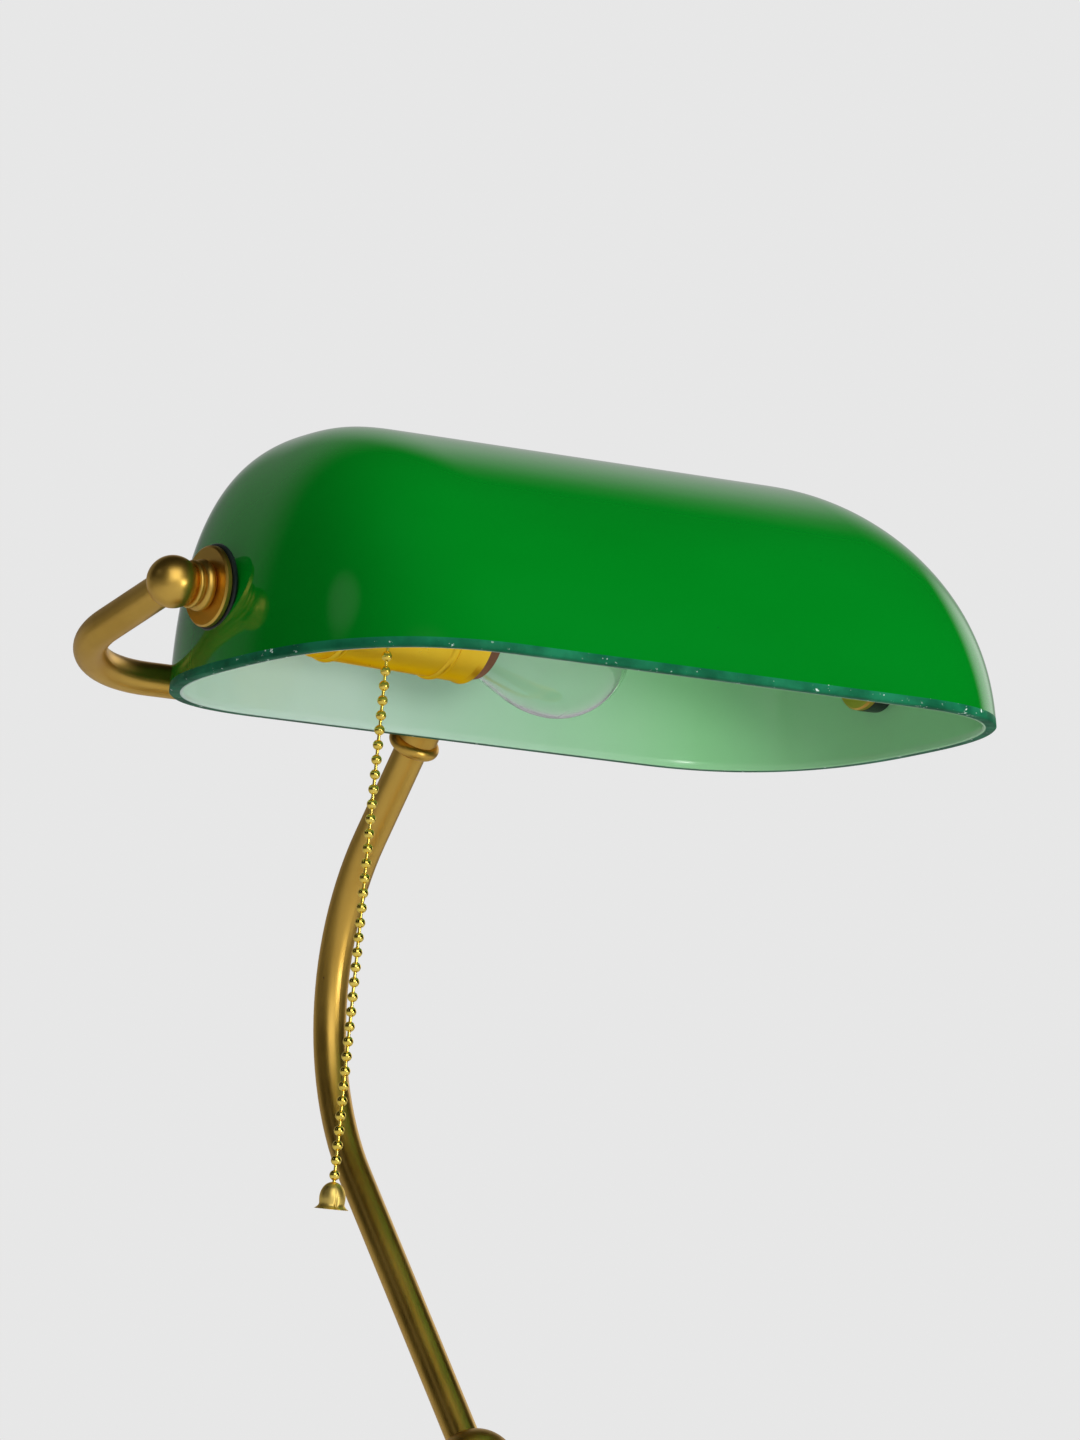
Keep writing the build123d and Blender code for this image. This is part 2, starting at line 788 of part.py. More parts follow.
shell_bead = cap_end + shell_bead_at
shell_radius = cap_radius - shell_step
with BuildPart() as socket_shell:
    with BuildSketch(socket_plane):
        with BuildLine():
            Polyline(
                (cap_end - shell_lap, lap_radius - sheet_wall),
                (cap_end - shell_lap, lap_radius),
                (cap_end + seat_gap, lap_radius),
                (cap_end + seat_gap, shell_radius),
                (shell_bead - bead_half_width, shell_radius),
            )
            bead_line(shell_bead, shell_radius)
            Polyline(
                (shell_bead + bead_half_width, shell_radius),
                (shell_end - 2.0, shell_radius),
                (shell_end, cap_radius + shell_lip),
                (shell_end, lap_radius - sheet_wall),
                (cap_end - shell_lap, lap_radius - sheet_wall),
            )
        make_face()
    revolve(axis=Axis(socket_plane.origin, socket_plane.x_dir))
write(socket_shell, "socket_shell")

socket_liner = ring(
    socket_plane, cap_end - shell_lap + 1.0, liner_end, liner_radius, liner_radius - liner_wall
)
write(socket_liner, "socket_liner")

body_radius = liner_radius - liner_wall - 0.1
terminal_seat = body_radius - terminal_sink


def terminal_plane(facing):
    """Where a terminal screw seats, above or below the socket's axis."""
    centre = socket_plane.from_local_coords((body_start + terminal_along, facing * terminal_seat, 0))
    return Plane(origin=centre, x_dir=socket_plane.x_dir, z_dir=socket_plane.y_dir * facing)


cross_plane = Plane(origin=socket_plane.origin, x_dir=(0, 1, 0), z_dir=socket_plane.x_dir)
with BuildPart() as socket_body:
    with BuildSketch(cross_plane.offset(body_start)):
        Circle(body_radius)
    extrude(amount=body_length)
    with BuildSketch(spout_side.offset(-9.0)):
        with Locations((spring_turns * spring_wire / 2, 0)):
            Rectangle(lever_width + 1.5 + spring_turns * spring_wire, lever_length + 7.0)
    extrude(amount=body_radius + 10.0, mode=Mode.SUBTRACT)
    pin_plane = Plane(
        origin=spout_side.origin + Vector(0, lever_pin_back, 0),
        x_dir=(0, 1, 0),
        z_dir=socket_plane.x_dir,
    )
    with BuildSketch(pin_plane.offset(-lever_width / 2 - pin_overhang)):
        Circle(pin_diameter / 2)
    extrude(amount=lever_width + 2 * pin_overhang, mode=Mode.SUBTRACT)
    for facing in (-1, 1):
        with BuildSketch(terminal_plane(facing)):
            Circle(terminal_radius + seat_gap)
        extrude(amount=terminal_reach, mode=Mode.SUBTRACT)
write(socket_body, "socket_body")

with BuildPart() as terminal_screws:
    for facing in (-1, 1):
        with BuildSketch(terminal_plane(facing)):
            Circle(terminal_radius)
        extrude(amount=terminal_reach - terminal_seat)
        with BuildSketch(terminal_plane(facing).offset(terminal_reach - terminal_seat)):
            Rectangle(2 * terminal_radius, terminal_slot)
        extrude(amount=-0.7, mode=Mode.SUBTRACT)
write(terminal_screws, "terminal_screws")

with BuildPart() as switch_pin:
    with BuildSketch(pin_plane.offset(-lever_width / 2 - pin_overhang)):
        Circle(pin_diameter / 2)
    extrude(amount=lever_width + 2 * pin_overhang)
write(switch_pin, "switch_pin")

lever_reach = lever_length - lever_pivot_share
with BuildPart() as switch_lever:
    with BuildSketch(pin_plane.offset(-lever_width / 2)):
        Circle(pin_diameter / 2 + lever_boss)
        with Locations((-lever_reach / 2, 1.2)):
            Rectangle(lever_reach, lever_thickness)
        Circle(pin_diameter / 2 + running_gap, mode=Mode.SUBTRACT)
    extrude(amount=lever_width)
write(switch_lever, "switch_lever")

coil_radius = pin_diameter / 2 + running_gap + spring_wire / 2
with BuildPart() as return_spring:
    spring_pitch = spring_wire + 2 * running_gap
    with BuildLine(pin_plane.offset(lever_width / 2 + side_gap / 2 + spring_wire / 2)) as coil:
        Helix(spring_pitch, spring_turns * spring_pitch, coil_radius, direction=pin_plane.z_dir)
    with BuildSketch(Plane(origin=coil.line @ 0, z_dir=coil.line % 0)):
        Circle(spring_wire / 2 - running_gap / 2)
    sweep(is_frenet=True)
write(return_spring, "return_spring")

thread_count = int((bulb_cap_length - 3.0) / thread_pitch)


def threaded_line(start, radius, count):
    """A rolled round thread: one shallow wave per turn, from a start along the axis."""
    for turn in range(count):
        foot = start + turn * thread_pitch
        middle = foot + thread_pitch / 2
        dip = (foot + thread_pitch / 4, radius - thread_depth / 2)
        crest = (middle + thread_pitch / 4, radius + thread_depth / 2)
        ThreePointArc((foot, radius), dip, (middle, radius))
        ThreePointArc((middle, radius), crest, (foot + thread_pitch, radius))


shell_screw_radius = bulb_cap_diameter / 2 - thread_depth / 2
with BuildPart() as screw_shell:
    with BuildSketch(socket_plane):
        inside = shell_screw_radius + 0.15
        outside = liner_radius - liner_wall - 0.1
        screw_shell_end = screw_shell_start + screw_shell_length
        with BuildLine():
            Polyline(
                (screw_shell_start, 2.5),
                (screw_shell_start, outside),
                (screw_shell_end, outside),
                (screw_shell_end, inside),
                (bulb_cap_start + thread_count * thread_pitch, inside),
            )
            threaded_line(bulb_cap_start, inside, thread_count)
            Polyline(
                (bulb_cap_start, inside),
                (screw_shell_start + screw_shell_wall, inside),
                (screw_shell_start + screw_shell_wall, 2.5),
                (screw_shell_start, 2.5),
            )
        make_face()
    revolve(axis=Axis(socket_plane.origin, socket_plane.x_dir))
write(screw_shell, "screw_shell")

centre_contact = turned(
    socket_plane,
    [
        (body_end, 0),
        (body_end, contact_radius),
        (bulb_tip_at - 0.4, contact_radius),
        (bulb_tip_at - running_gap, 1.4),
        (bulb_tip_at - running_gap, 0),
    ],
)
write(centre_contact, "centre_contact")

with BuildPart() as chain_spout:
    with BuildSketch(spout_side.offset(cap_bore)):
        Circle(2.5)
    extrude(amount=chain_reach - cap_bore)
    spout_radius = spout_diameter / 2
    drop_plane = Plane(
        origin=(chain_x, -chain_reach, spout_mouth), x_dir=(0, 0, 1), z_dir=(0, 1, 0)
    )
    with BuildSketch(drop_plane):
        with BuildLine():
            Polyline((1.2, 0), (0, 0), (0, spout_flare / 2), (0.8, spout_flare / 2))
            RadiusArc((0.8, spout_flare / 2), (3.0, spout_radius), -3.0)
            Polyline(
                (3.0, spout_radius),
                (spout_drop + spout_rise - 1.0, spout_radius),
                (spout_drop + spout_rise, spout_radius - 1.0),
                (spout_drop + spout_rise, 0),
                (1.2, 0),
            )
        make_face()
    revolve(axis=Axis(drop_plane.origin, drop_plane.x_dir))
    with BuildSketch(Plane.XY.offset(spout_mouth)):
        with Locations((chain_x, -chain_reach)):
            Circle(bead_diameter / 2 + 0.5)
    extrude(amount=spout_drop + spout_rise - spout_roof, mode=Mode.SUBTRACT)
write(chain_spout, "chain_spout")

# ---------------------------------------------------------------- pull chain
bead_radius = bead_diameter / 2
wire_radius = chain_wire / 2
bead_flat = (bead_radius**2 - wire_radius**2) ** 0.5


def beads(first, count):
    """Beads on a wire about the chain's axis, the first centred at a distance down it."""
    with BuildPart() as piece:
        with BuildSketch(chain_plane):
            with BuildLine():
                for index in range(count):
                    middle = first + index * bead_pitch
                    near = (middle - bead_flat, wire_radius)
                    far = (middle + bead_flat, wire_radius)
                    if index:
                        Line((middle - bead_pitch + bead_flat, wire_radius), near)
                    ThreePointArc(near, (middle, bead_radius), far)
                last = first + (count - 1) * bead_pitch
                Polyline(
                    (last + bead_flat, wire_radius),
                    (last + bead_flat, 0),
                    (first - bead_flat, 0),
                    (first - bead_flat, wire_radius),
                )
            make_face()
        revolve(axis=Axis(chain_plane.origin, chain_plane.x_dir))
    return piece


def rod(start, end, radius):
    """A plain round rod on the chain's axis."""
    with BuildPart() as piece:
        with BuildSketch(Plane(origin=chain_plane.origin, z_dir=chain_plane.x_dir).offset(start)):
            Circle(radius)
        extrude(amount=end - start)
    return piece


with BuildPart() as chain_head:
    add(beads(-head_beads * bead_pitch, head_beads).part)
    add(rod(-bead_pitch, -bead_radius - link_gap, wire_radius).part)
write(chain_head, "chain_head")

chain_link = beads(0, 1)
write(chain_link, "chain_link")

chain_end = hanging_beads * bead_pitch
bell_top = chain_end + bead_radius + 0.4
stop_at = bell_top + bell_wall + seat_gap
with BuildPart() as pull_chain:
    add(beads(bead_pitch, hanging_beads).part)
    add(rod(bead_radius + link_gap, bead_pitch, wire_radius).part)
    add(rod(chain_end, stop_at + stop_length, wire_radius).part)
    add(rod(stop_at, stop_at + stop_length, stop_radius).part)
write(pull_chain, "pull_chain")

bell_radius = bell_diameter / 2
bell_bottom = bell_top + bell_height
with BuildPart() as bell_pull:
    with BuildSketch(chain_plane):
        with BuildLine():
            Line((bell_top, wire_radius + 0.05), (bell_top, 1.0))
            ThreePointArc(
                (bell_top, 1.0), (bell_top + 1.2, bell_radius - 1.1), (bell_top + bell_crown, bell_radius)
            )
            Line((bell_top + bell_crown, bell_radius), (bell_bottom - 1.4, bell_radius))
            ThreePointArc(
                (bell_bottom - 1.4, bell_radius),
                (bell_bottom - 0.5, bell_radius + 0.25),
                (bell_bottom, bell_rim / 2),
            )
            Polyline(
                (bell_bottom, bell_rim / 2),
                (bell_bottom, bell_radius - bell_wall + 0.4),
                (bell_bottom - 1.2, bell_radius - bell_wall),
                (bell_top + bell_crown, bell_radius - bell_wall),
            )
            ThreePointArc(
                (bell_top + bell_crown, bell_radius - bell_wall),
                (bell_top + 1.8, bell_radius - 1.4),
                (bell_top + bell_wall, 1.0),
            )
            Polyline(
                (bell_top + bell_wall, 1.0),
                (bell_top + bell_wall, wire_radius + 0.05),
                (bell_top, wire_radius + 0.05),
            )
        make_face()
    revolve(axis=Axis(chain_plane.origin, chain_plane.x_dir))
write(bell_pull, "bell_pull")

# ---------------------------------------------------------------- bulb
bulb_cap_radius = bulb_cap_diameter / 2 - thread_depth / 2
neck_glass_radius = bulb_cap_radius - thread_depth / 2 - 0.5
with BuildPart() as bulb_cap:
    with BuildSketch(socket_plane):
        cap_inner = neck_glass_radius + 0.05
        with BuildLine():
            threaded_line(bulb_cap_start, bulb_cap_radius, thread_count)
            Polyline(
                (bulb_cap_start + thread_count * thread_pitch, bulb_cap_radius),
                (bulb_cap_end, bulb_cap_radius),
                (bulb_cap_end, cap_inner),
                (bulb_cap_start + 0.5, cap_inner),
                (bulb_cap_start - 1.0, 8.0),
                (bulb_cap_start - 1.5, 8.6),
                (bulb_cap_start, bulb_cap_radius),
            )
        make_face()
    revolve(axis=Axis(socket_plane.origin, socket_plane.x_dir))
write(bulb_cap, "bulb_cap")

insulator_start = bulb_tip_at + bulb_tip_height
bulb_insulator = turned(
    socket_plane,
    [
        (insulator_start, 0),
        (insulator_start, 4.6),
        (bulb_cap_start - 1.5, 7.6),
        (bulb_cap_start - 1.0, 8.0),
        (bulb_cap_start + 0.5, cap_inner),
        (bulb_cap_start + 0.5, 0),
    ],
)
write(bulb_insulator, "bulb_insulator")

with BuildPart() as bulb_tip:
    with BuildSketch(socket_plane):
        with BuildLine():
            ThreePointArc((bulb_tip_at, 0), (bulb_tip_at + 0.5, 2.6), (insulator_start, 4.0))
            Polyline((insulator_start, 4.0), (insulator_start, 0), (bulb_tip_at, 0))
        make_face()
    revolve(axis=Axis(socket_plane.origin, socket_plane.x_dir))
write(bulb_tip, "bulb_tip")


def globe_line(inset):
    """The bulb's outline from inside its cap, out along the neck and round the globe."""
    radius = bulb_diameter / 2 - inset
    neck = neck_glass_radius - inset
    Line((bulb_cap_start + mount_foot, neck), (bulb_cap_end, neck))
    reach = globe_middle - bulb_cap_end
    Spline(
        (bulb_cap_end, neck),
        (bulb_cap_end + 0.42 * reach, neck + 0.55 * (radius - neck)),
        (globe_middle, radius),
        tangents=[(1, 0.45), (1, 0)],
    )
    ThreePointArc(
        (globe_middle, radius),
        (globe_middle + radius * cos(pi / 4), radius * sin(pi / 4)),
        (globe_middle + radius, 0),
    )


with BuildPart() as bulb_glass:
    with BuildSketch(socket_plane):
        with BuildLine():
            globe_line(0)
            Line((bulb_end, 0), (bulb_end - bulb_glass_wall, 0))
            globe_line(bulb_glass_wall)
            Line(
                (bulb_cap_start + mount_foot, neck_glass_radius - bulb_glass_wall),
                (bulb_cap_start + mount_foot, neck_glass_radius),
            )
        make_face()
    revolve(axis=Axis(socket_plane.origin, socket_plane.x_dir))
write(bulb_glass, "bulb_glass")

mount_start = bulb_cap_start + mount_foot
mount_end = bulb_cap_end + mount_length
bulb_mount = turned(
    socket_plane,
    [
        (mount_start, 0),
        (mount_start, neck_glass_radius - bulb_glass_wall - 0.3),
        (mount_start + 1.0, neck_glass_radius - bulb_glass_wall - 0.3),
        (mount_start + 7.0, 4.2),
        (mount_end - 8.0, 3.4),
        (mount_end - 1.0, 2.6),
        (mount_end, 1.8),
        (mount_end, 0),
    ],
)
write(bulb_mount, "bulb_mount")

ring_plane = cross_plane.offset(mount_end + filament_clear)
with BuildPart() as filament:
    with BuildLine(ring_plane) as loop:
        CenterArc((0, 0), filament_radius, filament_start, filament_sweep)
    with BuildSketch(Plane(origin=loop.line @ 0, z_dir=loop.line % 0)):
        Circle(filament_wire / 2)
    sweep()
write(filament, "filament")

lead_reach = filament_radius - filament_wire / 2 - lead_wire / 2
lead_foot = socket_plane.from_local_coords((mount_end - 0.5, 0, 0))
with BuildPart() as lead_wires:
    for turn in range(filament_start, filament_start + filament_sweep + 1, filament_sweep // 4):
        outwards = ring_plane.x_dir * cos(radians(turn)) + ring_plane.y_dir * sin(radians(turn))
        foot = lead_foot + outwards
        head = ring_plane.origin + outwards * lead_reach
        with BuildSketch(Plane(origin=foot, z_dir=head - foot)):
            Circle(lead_wire / 2)
        extrude(amount=(head - foot).length)
    add(bulb_mount.part, mode=Mode.SUBTRACT)
write(lead_wires, "lead_wires")
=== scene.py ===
"""Looks of the banker desk lamp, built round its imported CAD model. Metres, +Z up, -Y to the front."""

import json
import math

import bmesh
import bpy
import numpy as np
from mathutils import Matrix, Vector


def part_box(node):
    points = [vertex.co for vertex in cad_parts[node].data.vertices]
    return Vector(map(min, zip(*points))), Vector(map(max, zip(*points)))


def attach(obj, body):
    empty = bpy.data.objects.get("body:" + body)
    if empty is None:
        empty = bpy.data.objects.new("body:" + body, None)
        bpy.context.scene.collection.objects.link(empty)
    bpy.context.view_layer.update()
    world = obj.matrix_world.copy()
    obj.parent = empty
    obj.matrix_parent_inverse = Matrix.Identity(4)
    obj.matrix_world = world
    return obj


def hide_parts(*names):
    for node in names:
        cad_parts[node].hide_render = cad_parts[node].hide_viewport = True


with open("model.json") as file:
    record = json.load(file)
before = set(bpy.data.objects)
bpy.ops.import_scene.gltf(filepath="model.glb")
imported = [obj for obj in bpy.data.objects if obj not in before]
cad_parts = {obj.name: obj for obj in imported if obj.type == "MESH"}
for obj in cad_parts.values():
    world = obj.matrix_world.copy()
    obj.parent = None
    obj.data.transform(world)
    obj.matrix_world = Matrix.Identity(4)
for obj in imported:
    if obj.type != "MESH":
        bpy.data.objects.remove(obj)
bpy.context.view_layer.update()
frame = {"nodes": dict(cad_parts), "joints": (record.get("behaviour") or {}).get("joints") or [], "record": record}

MM = 0.001

# Shade, as the glass maker's mould has it
PIVOT = np.array(next(j for j in frame["joints"] if j["name"] == "shade_tilt")["pos_m"])
SHADE_LENGTH = 256 * MM
SHADE_WIDTH = 148.8 * MM
SHADE_HEIGHT = 82.35 * MM
GLASS_WALL = 4 * MM
SHADE_STRAIGHT = 138.4 * MM
SHADE_LEAN = 26.8 * MM
END_DRAFT = 6.3 * MM
SIDE_DRAFT = 4 * MM
PLAN_POWER = 2.6
END_POWER = 2.32
SIDE_POWER = 2.2
PIVOT_ABOVE_RIM = 26.2 * MM
PIVOT_BEHIND_MIDDLE = 14.8 * MM
SHADE_TILT = math.radians(-8.5)
HOLE_RADIUS = 5 * MM
HOLE_STEPS = 48
RIM_BEVEL = 0.4 * MM
OPAL_LAYER = 0.9 * MM
SWING_STEPS = 160
CLIMB_STEPS = 72
CLIMB_POWER = 0.9

# Bell at the end of the chain; shares are of its lip's radius or of its height from the top
BELL_WALL = 0.5 * MM
BELL_BORE = 0.55 * MM
BELL_BODY = 0.76
BELL_DOME_END = 0.62
BELL_DOME_POWER = 2.1
BELL_WAIST = 0.03
BELL_WAIST_END = 0.82
BELL_FLARE_START = 0.78
BELL_FLARE_POWER = 2.2
BELL_SEAM_AT = math.radians(-104)
BELL_SEAM_DEPTH = 0.7 * MM
BELL_SEAM_WIDTH = (0.05, 0.07)
BELL_SEAM_START = 0.25

# Felt under the foot: how round its edge is, and the waves in it as (count, start, share)
FELT_EDGE_WAVE = 0.15 * MM
FELT_EDGE_ROUND = 0.35
FELT_WAVES = ((23, 0, 0.25), (57, 1, 0.15), (131, 2, 0.1))

# Rubber washers behind the flanges
GASKET_THICKNESS = 1.5 * MM
GASKET_NECK = 10.5 * MM
GASKET_BORE = 4.1 * MM
GASKET_NECK_DEPTH = 0.55
GASKET_NECK_TAPER = 0.96

# Camera: where it stands, the directions of its picture's right and top, and its lens
CAMERA_PLACE = (-1.4025, -2.0950, 0.1901)
CAMERA_RIGHT = (0.82537, -0.55577, 0.09942)
CAMERA_UP = (-0.10529, 0.02150, 0.99421)
CAMERA_LENS = 205.1
SENSOR_HEIGHT = 36

# Studio
FLOOR_RADIUS = 1.0
FLOOR_THICKNESS = 0.03
SOFT_GREY = 0.8

# Room: direction, how far out a glow starts and where it is full (cosines), and its brightness
ROOM_DIM = 0.012
ROOM_GLOWS = (
    ((0.2, 0.98, 0.0), 0.64, 0.85, 0.26),
    ((0.6, 0.75, 0.3), 0.88, 1.0, 0.3),
    ((0.9, 0.35, 0.25), 0.94, 1.0, 1.6),
    ((0.25, -0.97, -0.02), 0.965, 0.997, 2.6),
    ((-0.5, -0.86, 0.0), 0.8, 1.0, 0.4),
    ((0.0, 0.0, -1.0), -0.16, 0.05, 0.2),
    ((-0.85, 0.21, 0.47), 0.975, 1.0, 0.38),
)

# Softboxes: name, place, point faced, size, watts, and whether surfaces mirror it
LAMP_MIDDLE = (0, 0, 0.3)
SOFTBOXES = (
    ("key", (1.3, -2.0, 2.1), LAMP_MIDDLE, (1.8, 1.8), 58, False),
    ("fill", (-2.2, -1.4, 0.8), LAMP_MIDDLE, (1.4, 1.6), 8, False),
    ("top", (-0.5, -0.4, 2.3), LAMP_MIDDLE, (1.6, 1.6), 30, False),
    ("under", (0.5, -1.4, 0.05), (0.05, 0, 0.34), (1.2, 0.7), 9.5, False),
    ("window", (0.62, -2.35, 0.2), (0, 0, 0.2), (0.4, 0.35), 6.5, True),
)
METAL_PANEL = ("panel", (-0.8, -1.9, 1.5), (0, 0, 0.2), (2.0, 2.0), 22, True)

# Sockets of a colour Mix node: its two colours and its result
MIX_COLOURS = (6, 7)
MIX_RESULT = 2


# ------------------------------------------------------------------ camera and studio
def add_camera():
    """A long lens a little below the shade, looking slightly up at its front left corner."""
    data = bpy.data.cameras.new("camera")
    data.sensor_fit = "VERTICAL"
    data.sensor_height = SENSOR_HEIGHT
    data.lens = CAMERA_LENS
    data.clip_end = 60
    camera = bpy.data.objects.new("camera", data)
    right = Vector(CAMERA_RIGHT)
    up = Vector(CAMERA_UP)
    back = right.cross(up)
    turn = Matrix((right, up, back)).transposed().to_4x4()
    camera.matrix_world = Matrix.Translation(CAMERA_PLACE) @ turn
    bpy.context.scene.collection.objects.link(camera)
    bpy.context.scene.camera = camera


def add_floor():
    """A round table top of matt paper: rings of points at rising radius, turned about +Z."""
    radius = np.array([0.0, 0.12, 0.4, 0.8, FLOOR_RADIUS - 0.01, FLOOR_RADIUS, FLOOR_RADIUS, 0.0])
    height = np.array([0.0, 0.0, 0.0, 0.0, 0.0, -0.01, -FLOOR_THICKNESS, -FLOOR_THICKNESS])
    floor = turned_surface("floor", radius, height, (0, 0), 96)
    floor.data.materials.append(paper_material())


def add_light(name, place, aim, size, watts, mirrored):
    """A softbox at a place, facing a point. If not mirrored, it lights surfaces without showing in them."""
    data = bpy.data.lights.new(name, "AREA")
    data.shape = "RECTANGLE"
    data.size, data.size_y = size
    data.energy = watts
    lamp = bpy.data.objects.new(name, data)
    lamp.location = place
    lamp.rotation_euler = (Vector(aim) - Vector(place)).to_track_quat("-Z", "Y").to_euler()
    lamp.visible_glossy = mirrored
    bpy.context.scene.collection.objects.link(lamp)
    return lamp


def add_glow(tree, place, aim, start, stop, strength):
    """A soft patch of brightness in the world round a direction, rising from its edge to its middle."""
    away = tree.nodes.new("ShaderNodeVectorMath")
    away.operation = "DOT_PRODUCT"
    away.inputs[1].default_value = Vector(aim).normalized()
    tree.links.new(place, away.inputs[0])
    patch = tree.nodes.new("ShaderNodeMapRange")
    patch.interpolation_type = "SMOOTHSTEP"
    patch.inputs["From Min"].default_value = start
    patch.inputs["From Max"].default_value = stop
    patch.inputs["To Max"].default_value = strength
    tree.links.new(away.outputs["Value"], patch.inputs["Value"])
    return patch.outputs["Result"]


def add_room():
    """The room as a world: soft glows round a dim room in reflections, and one even grey to look at."""
    world = bpy.data.worlds.new("room")
    world.use_nodes = True
    tree = world.node_tree
    tree.nodes.clear()
    place = tree.nodes.new("ShaderNodeTexCoord").outputs["Generated"]
    total = None
    for aim, start, stop, strength in ROOM_GLOWS:
        glow = add_glow(tree, place, aim, start, stop, strength)
        if total is None:
            total = glow
            continue
        both = tree.nodes.new("ShaderNodeMath")
        tree.links.new(total, both.inputs[0])
        tree.links.new(glow, both.inputs[1])
        total = both.outputs["Value"]
    dim = tree.nodes.new("ShaderNodeMath")
    dim.inputs[1].default_value = ROOM_DIM
    tree.links.new(total, dim.inputs[0])
    room = tree.nodes.new("ShaderNodeBackground")
    tree.links.new(dim.outputs["Value"], room.inputs["Strength"])
    seen = tree.nodes.new("ShaderNodeBackground")
    seen.inputs["Color"].default_value = (SOFT_GREY, SOFT_GREY, SOFT_GREY, 1)
    path = tree.nodes.new("ShaderNodeLightPath")
    mix = tree.nodes.new("ShaderNodeMixShader")
    tree.links.new(path.outputs["Is Camera Ray"], mix.inputs["Fac"])
    tree.links.new(room.outputs["Background"], mix.inputs[1])
    tree.links.new(seen.outputs["Background"], mix.inputs[2])
    out = tree.nodes.new("ShaderNodeOutputWorld")
    tree.links.new(mix.outputs["Shader"], out.inputs["Surface"])
    bpy.context.scene.world = world


def add_lights():
    """The softboxes: a key, fills and a top light that surfaces don't mirror, and a window that they do."""
    for softbox in SOFTBOXES:
        add_light(*softbox)
    bpy.context.scene.view_settings.view_transform = "Standard"


def add_metal_panel(bell):
    """A big panel at the front left that lights the metal alone, so the glass doesn't show its shape."""
    group = bpy.data.collections.new("lit_metal")
    group.objects.link(bell)
    metals = ("satin_brass", "polished_brass", "bare_brass")
    for row in frame["record"]["subparts"]:
        if row["material_slot"] in metals:
            group.objects.link(frame["nodes"][row["node"]])
    panel = add_light(*METAL_PANEL)
    panel.light_linking.receiver_collection = group


# ------------------------------------------------------------------ mesh making
def grid_surface(name, points):
    """A quad surface through rings of points, in order. Each ring's last point joins its first."""
    rows, columns = points.shape[:2]
    index = np.arange(rows * columns).reshape(rows, columns)
    index = np.concatenate([index, index[:, :1]], 1)
    quads = np.stack([index[:-1, :-1], index[:-1, 1:], index[1:, 1:], index[1:, :-1]], -1)
    quads = quads.reshape(-1, 4)
    mesh = bpy.data.meshes.new(name)
    mesh.vertices.add(rows * columns)
    mesh.vertices.foreach_set("co", points.reshape(-1).astype(np.float32))
    mesh.loops.add(quads.size)
    mesh.loops.foreach_set("vertex_index", quads.reshape(-1).astype(np.int32))
    mesh.polygons.add(len(quads))
    mesh.polygons.foreach_set("loop_start", (np.arange(len(quads)) * 4).astype(np.int32))
    mesh.update(calc_edges=True)
    piece = bpy.data.objects.new(name, mesh)
    bpy.context.scene.collection.objects.link(piece)
    return piece


def close_surface(piece):
    """Merges points that fall together, drops flat faces, turns every face outwards and smooths them."""
    work = bmesh.new()
    work.from_mesh(piece.data)
    bmesh.ops.remove_doubles(work, verts=work.verts, dist=2e-6)
    bmesh.ops.dissolve_degenerate(work, dist=1e-7, edges=work.edges)
    bmesh.ops.recalc_face_normals(work, faces=work.faces)
    work.to_mesh(piece.data)
    work.free()
    piece.data.polygons.foreach_set("use_smooth", np.ones(len(piece.data.polygons), dtype=bool))


def turned_surface(name, radius, height, middle, steps, bend=None):
    """A surface of revolution: x = middle + radius cos a, y = middle + radius sin a, z = height.

    radius and height are arrays along the profile. bend, if given, takes the two parameter grids and
    returns metres to add to the radius.
    """
    swing = np.linspace(0, 2 * math.pi, steps, endpoint=False)
    along = np.linspace(0, 1, len(radius))
    grid_along, grid_swing = np.meshgrid(along, swing, indexing="ij")
    reach = np.repeat(radius[:, None], steps, 1)
    if bend is not None:
        reach = reach + bend(grid_along, grid_swing)
    x = middle[0] + reach * np.cos(grid_swing)
    y = middle[1] + reach * np.sin(grid_swing)
    piece = grid_surface(name, np.stack([x, y, np.repeat(height[:, None], steps, 1)], -1))
    close_surface(piece)
    return piece


def shade_outline(rise, inset, swing):
    """One level outline of the shade, at a share of the height: two superellipse ends on a straight middle.

    x = straight half + reach * |cos|^(2/n) towards each end, y = middle + half width * |sin|^(2/n). The
    reach and the half width shrink with height as superellipse quarters of their own powers, and the
    middle leans back with the height squared.
    """
    ends = (1 - rise**END_POWER) ** (1 / END_POWER)
    sides = (1 - rise**SIDE_POWER) ** (1 / SIDE_POWER)
    reach = ((SHADE_LENGTH - SHADE_STRAIGHT) / 2 - inset - END_DRAFT * rise) * ends
    half_width = (SHADE_WIDTH / 2 - inset - SIDE_DRAFT * rise) * sides
    height = rise * (SHADE_HEIGHT - inset)
    middle = SHADE_LEAN * (height / SHADE_HEIGHT) ** 2
    cosine, sine = np.cos(swing), np.sin(swing)
    x = np.sign(cosine) * (SHADE_STRAIGHT / 2 + reach * np.abs(cosine) ** (2 / PLAN_POWER))
    y = middle + half_width * np.sign(sine) * np.abs(sine) ** (2 / PLAN_POWER)
    return np.stack([x, y, np.full_like(x, height)], -1)


def tilt_into_place(points):
    """Moves points from the mould's frame, rim at zero, to the lamp's, tilted about the pivot."""
    local = points + np.array([0, -PIVOT_BEHIND_MIDDLE, -PIVOT_ABOVE_RIM])
    c, s = math.cos(SHADE_TILT), math.sin(SHADE_TILT)
    y = c * local[..., 1] - s * local[..., 2]
    z = s * local[..., 1] + c * local[..., 2]
    return np.stack([local[..., 0], y, z], -1) + PIVOT


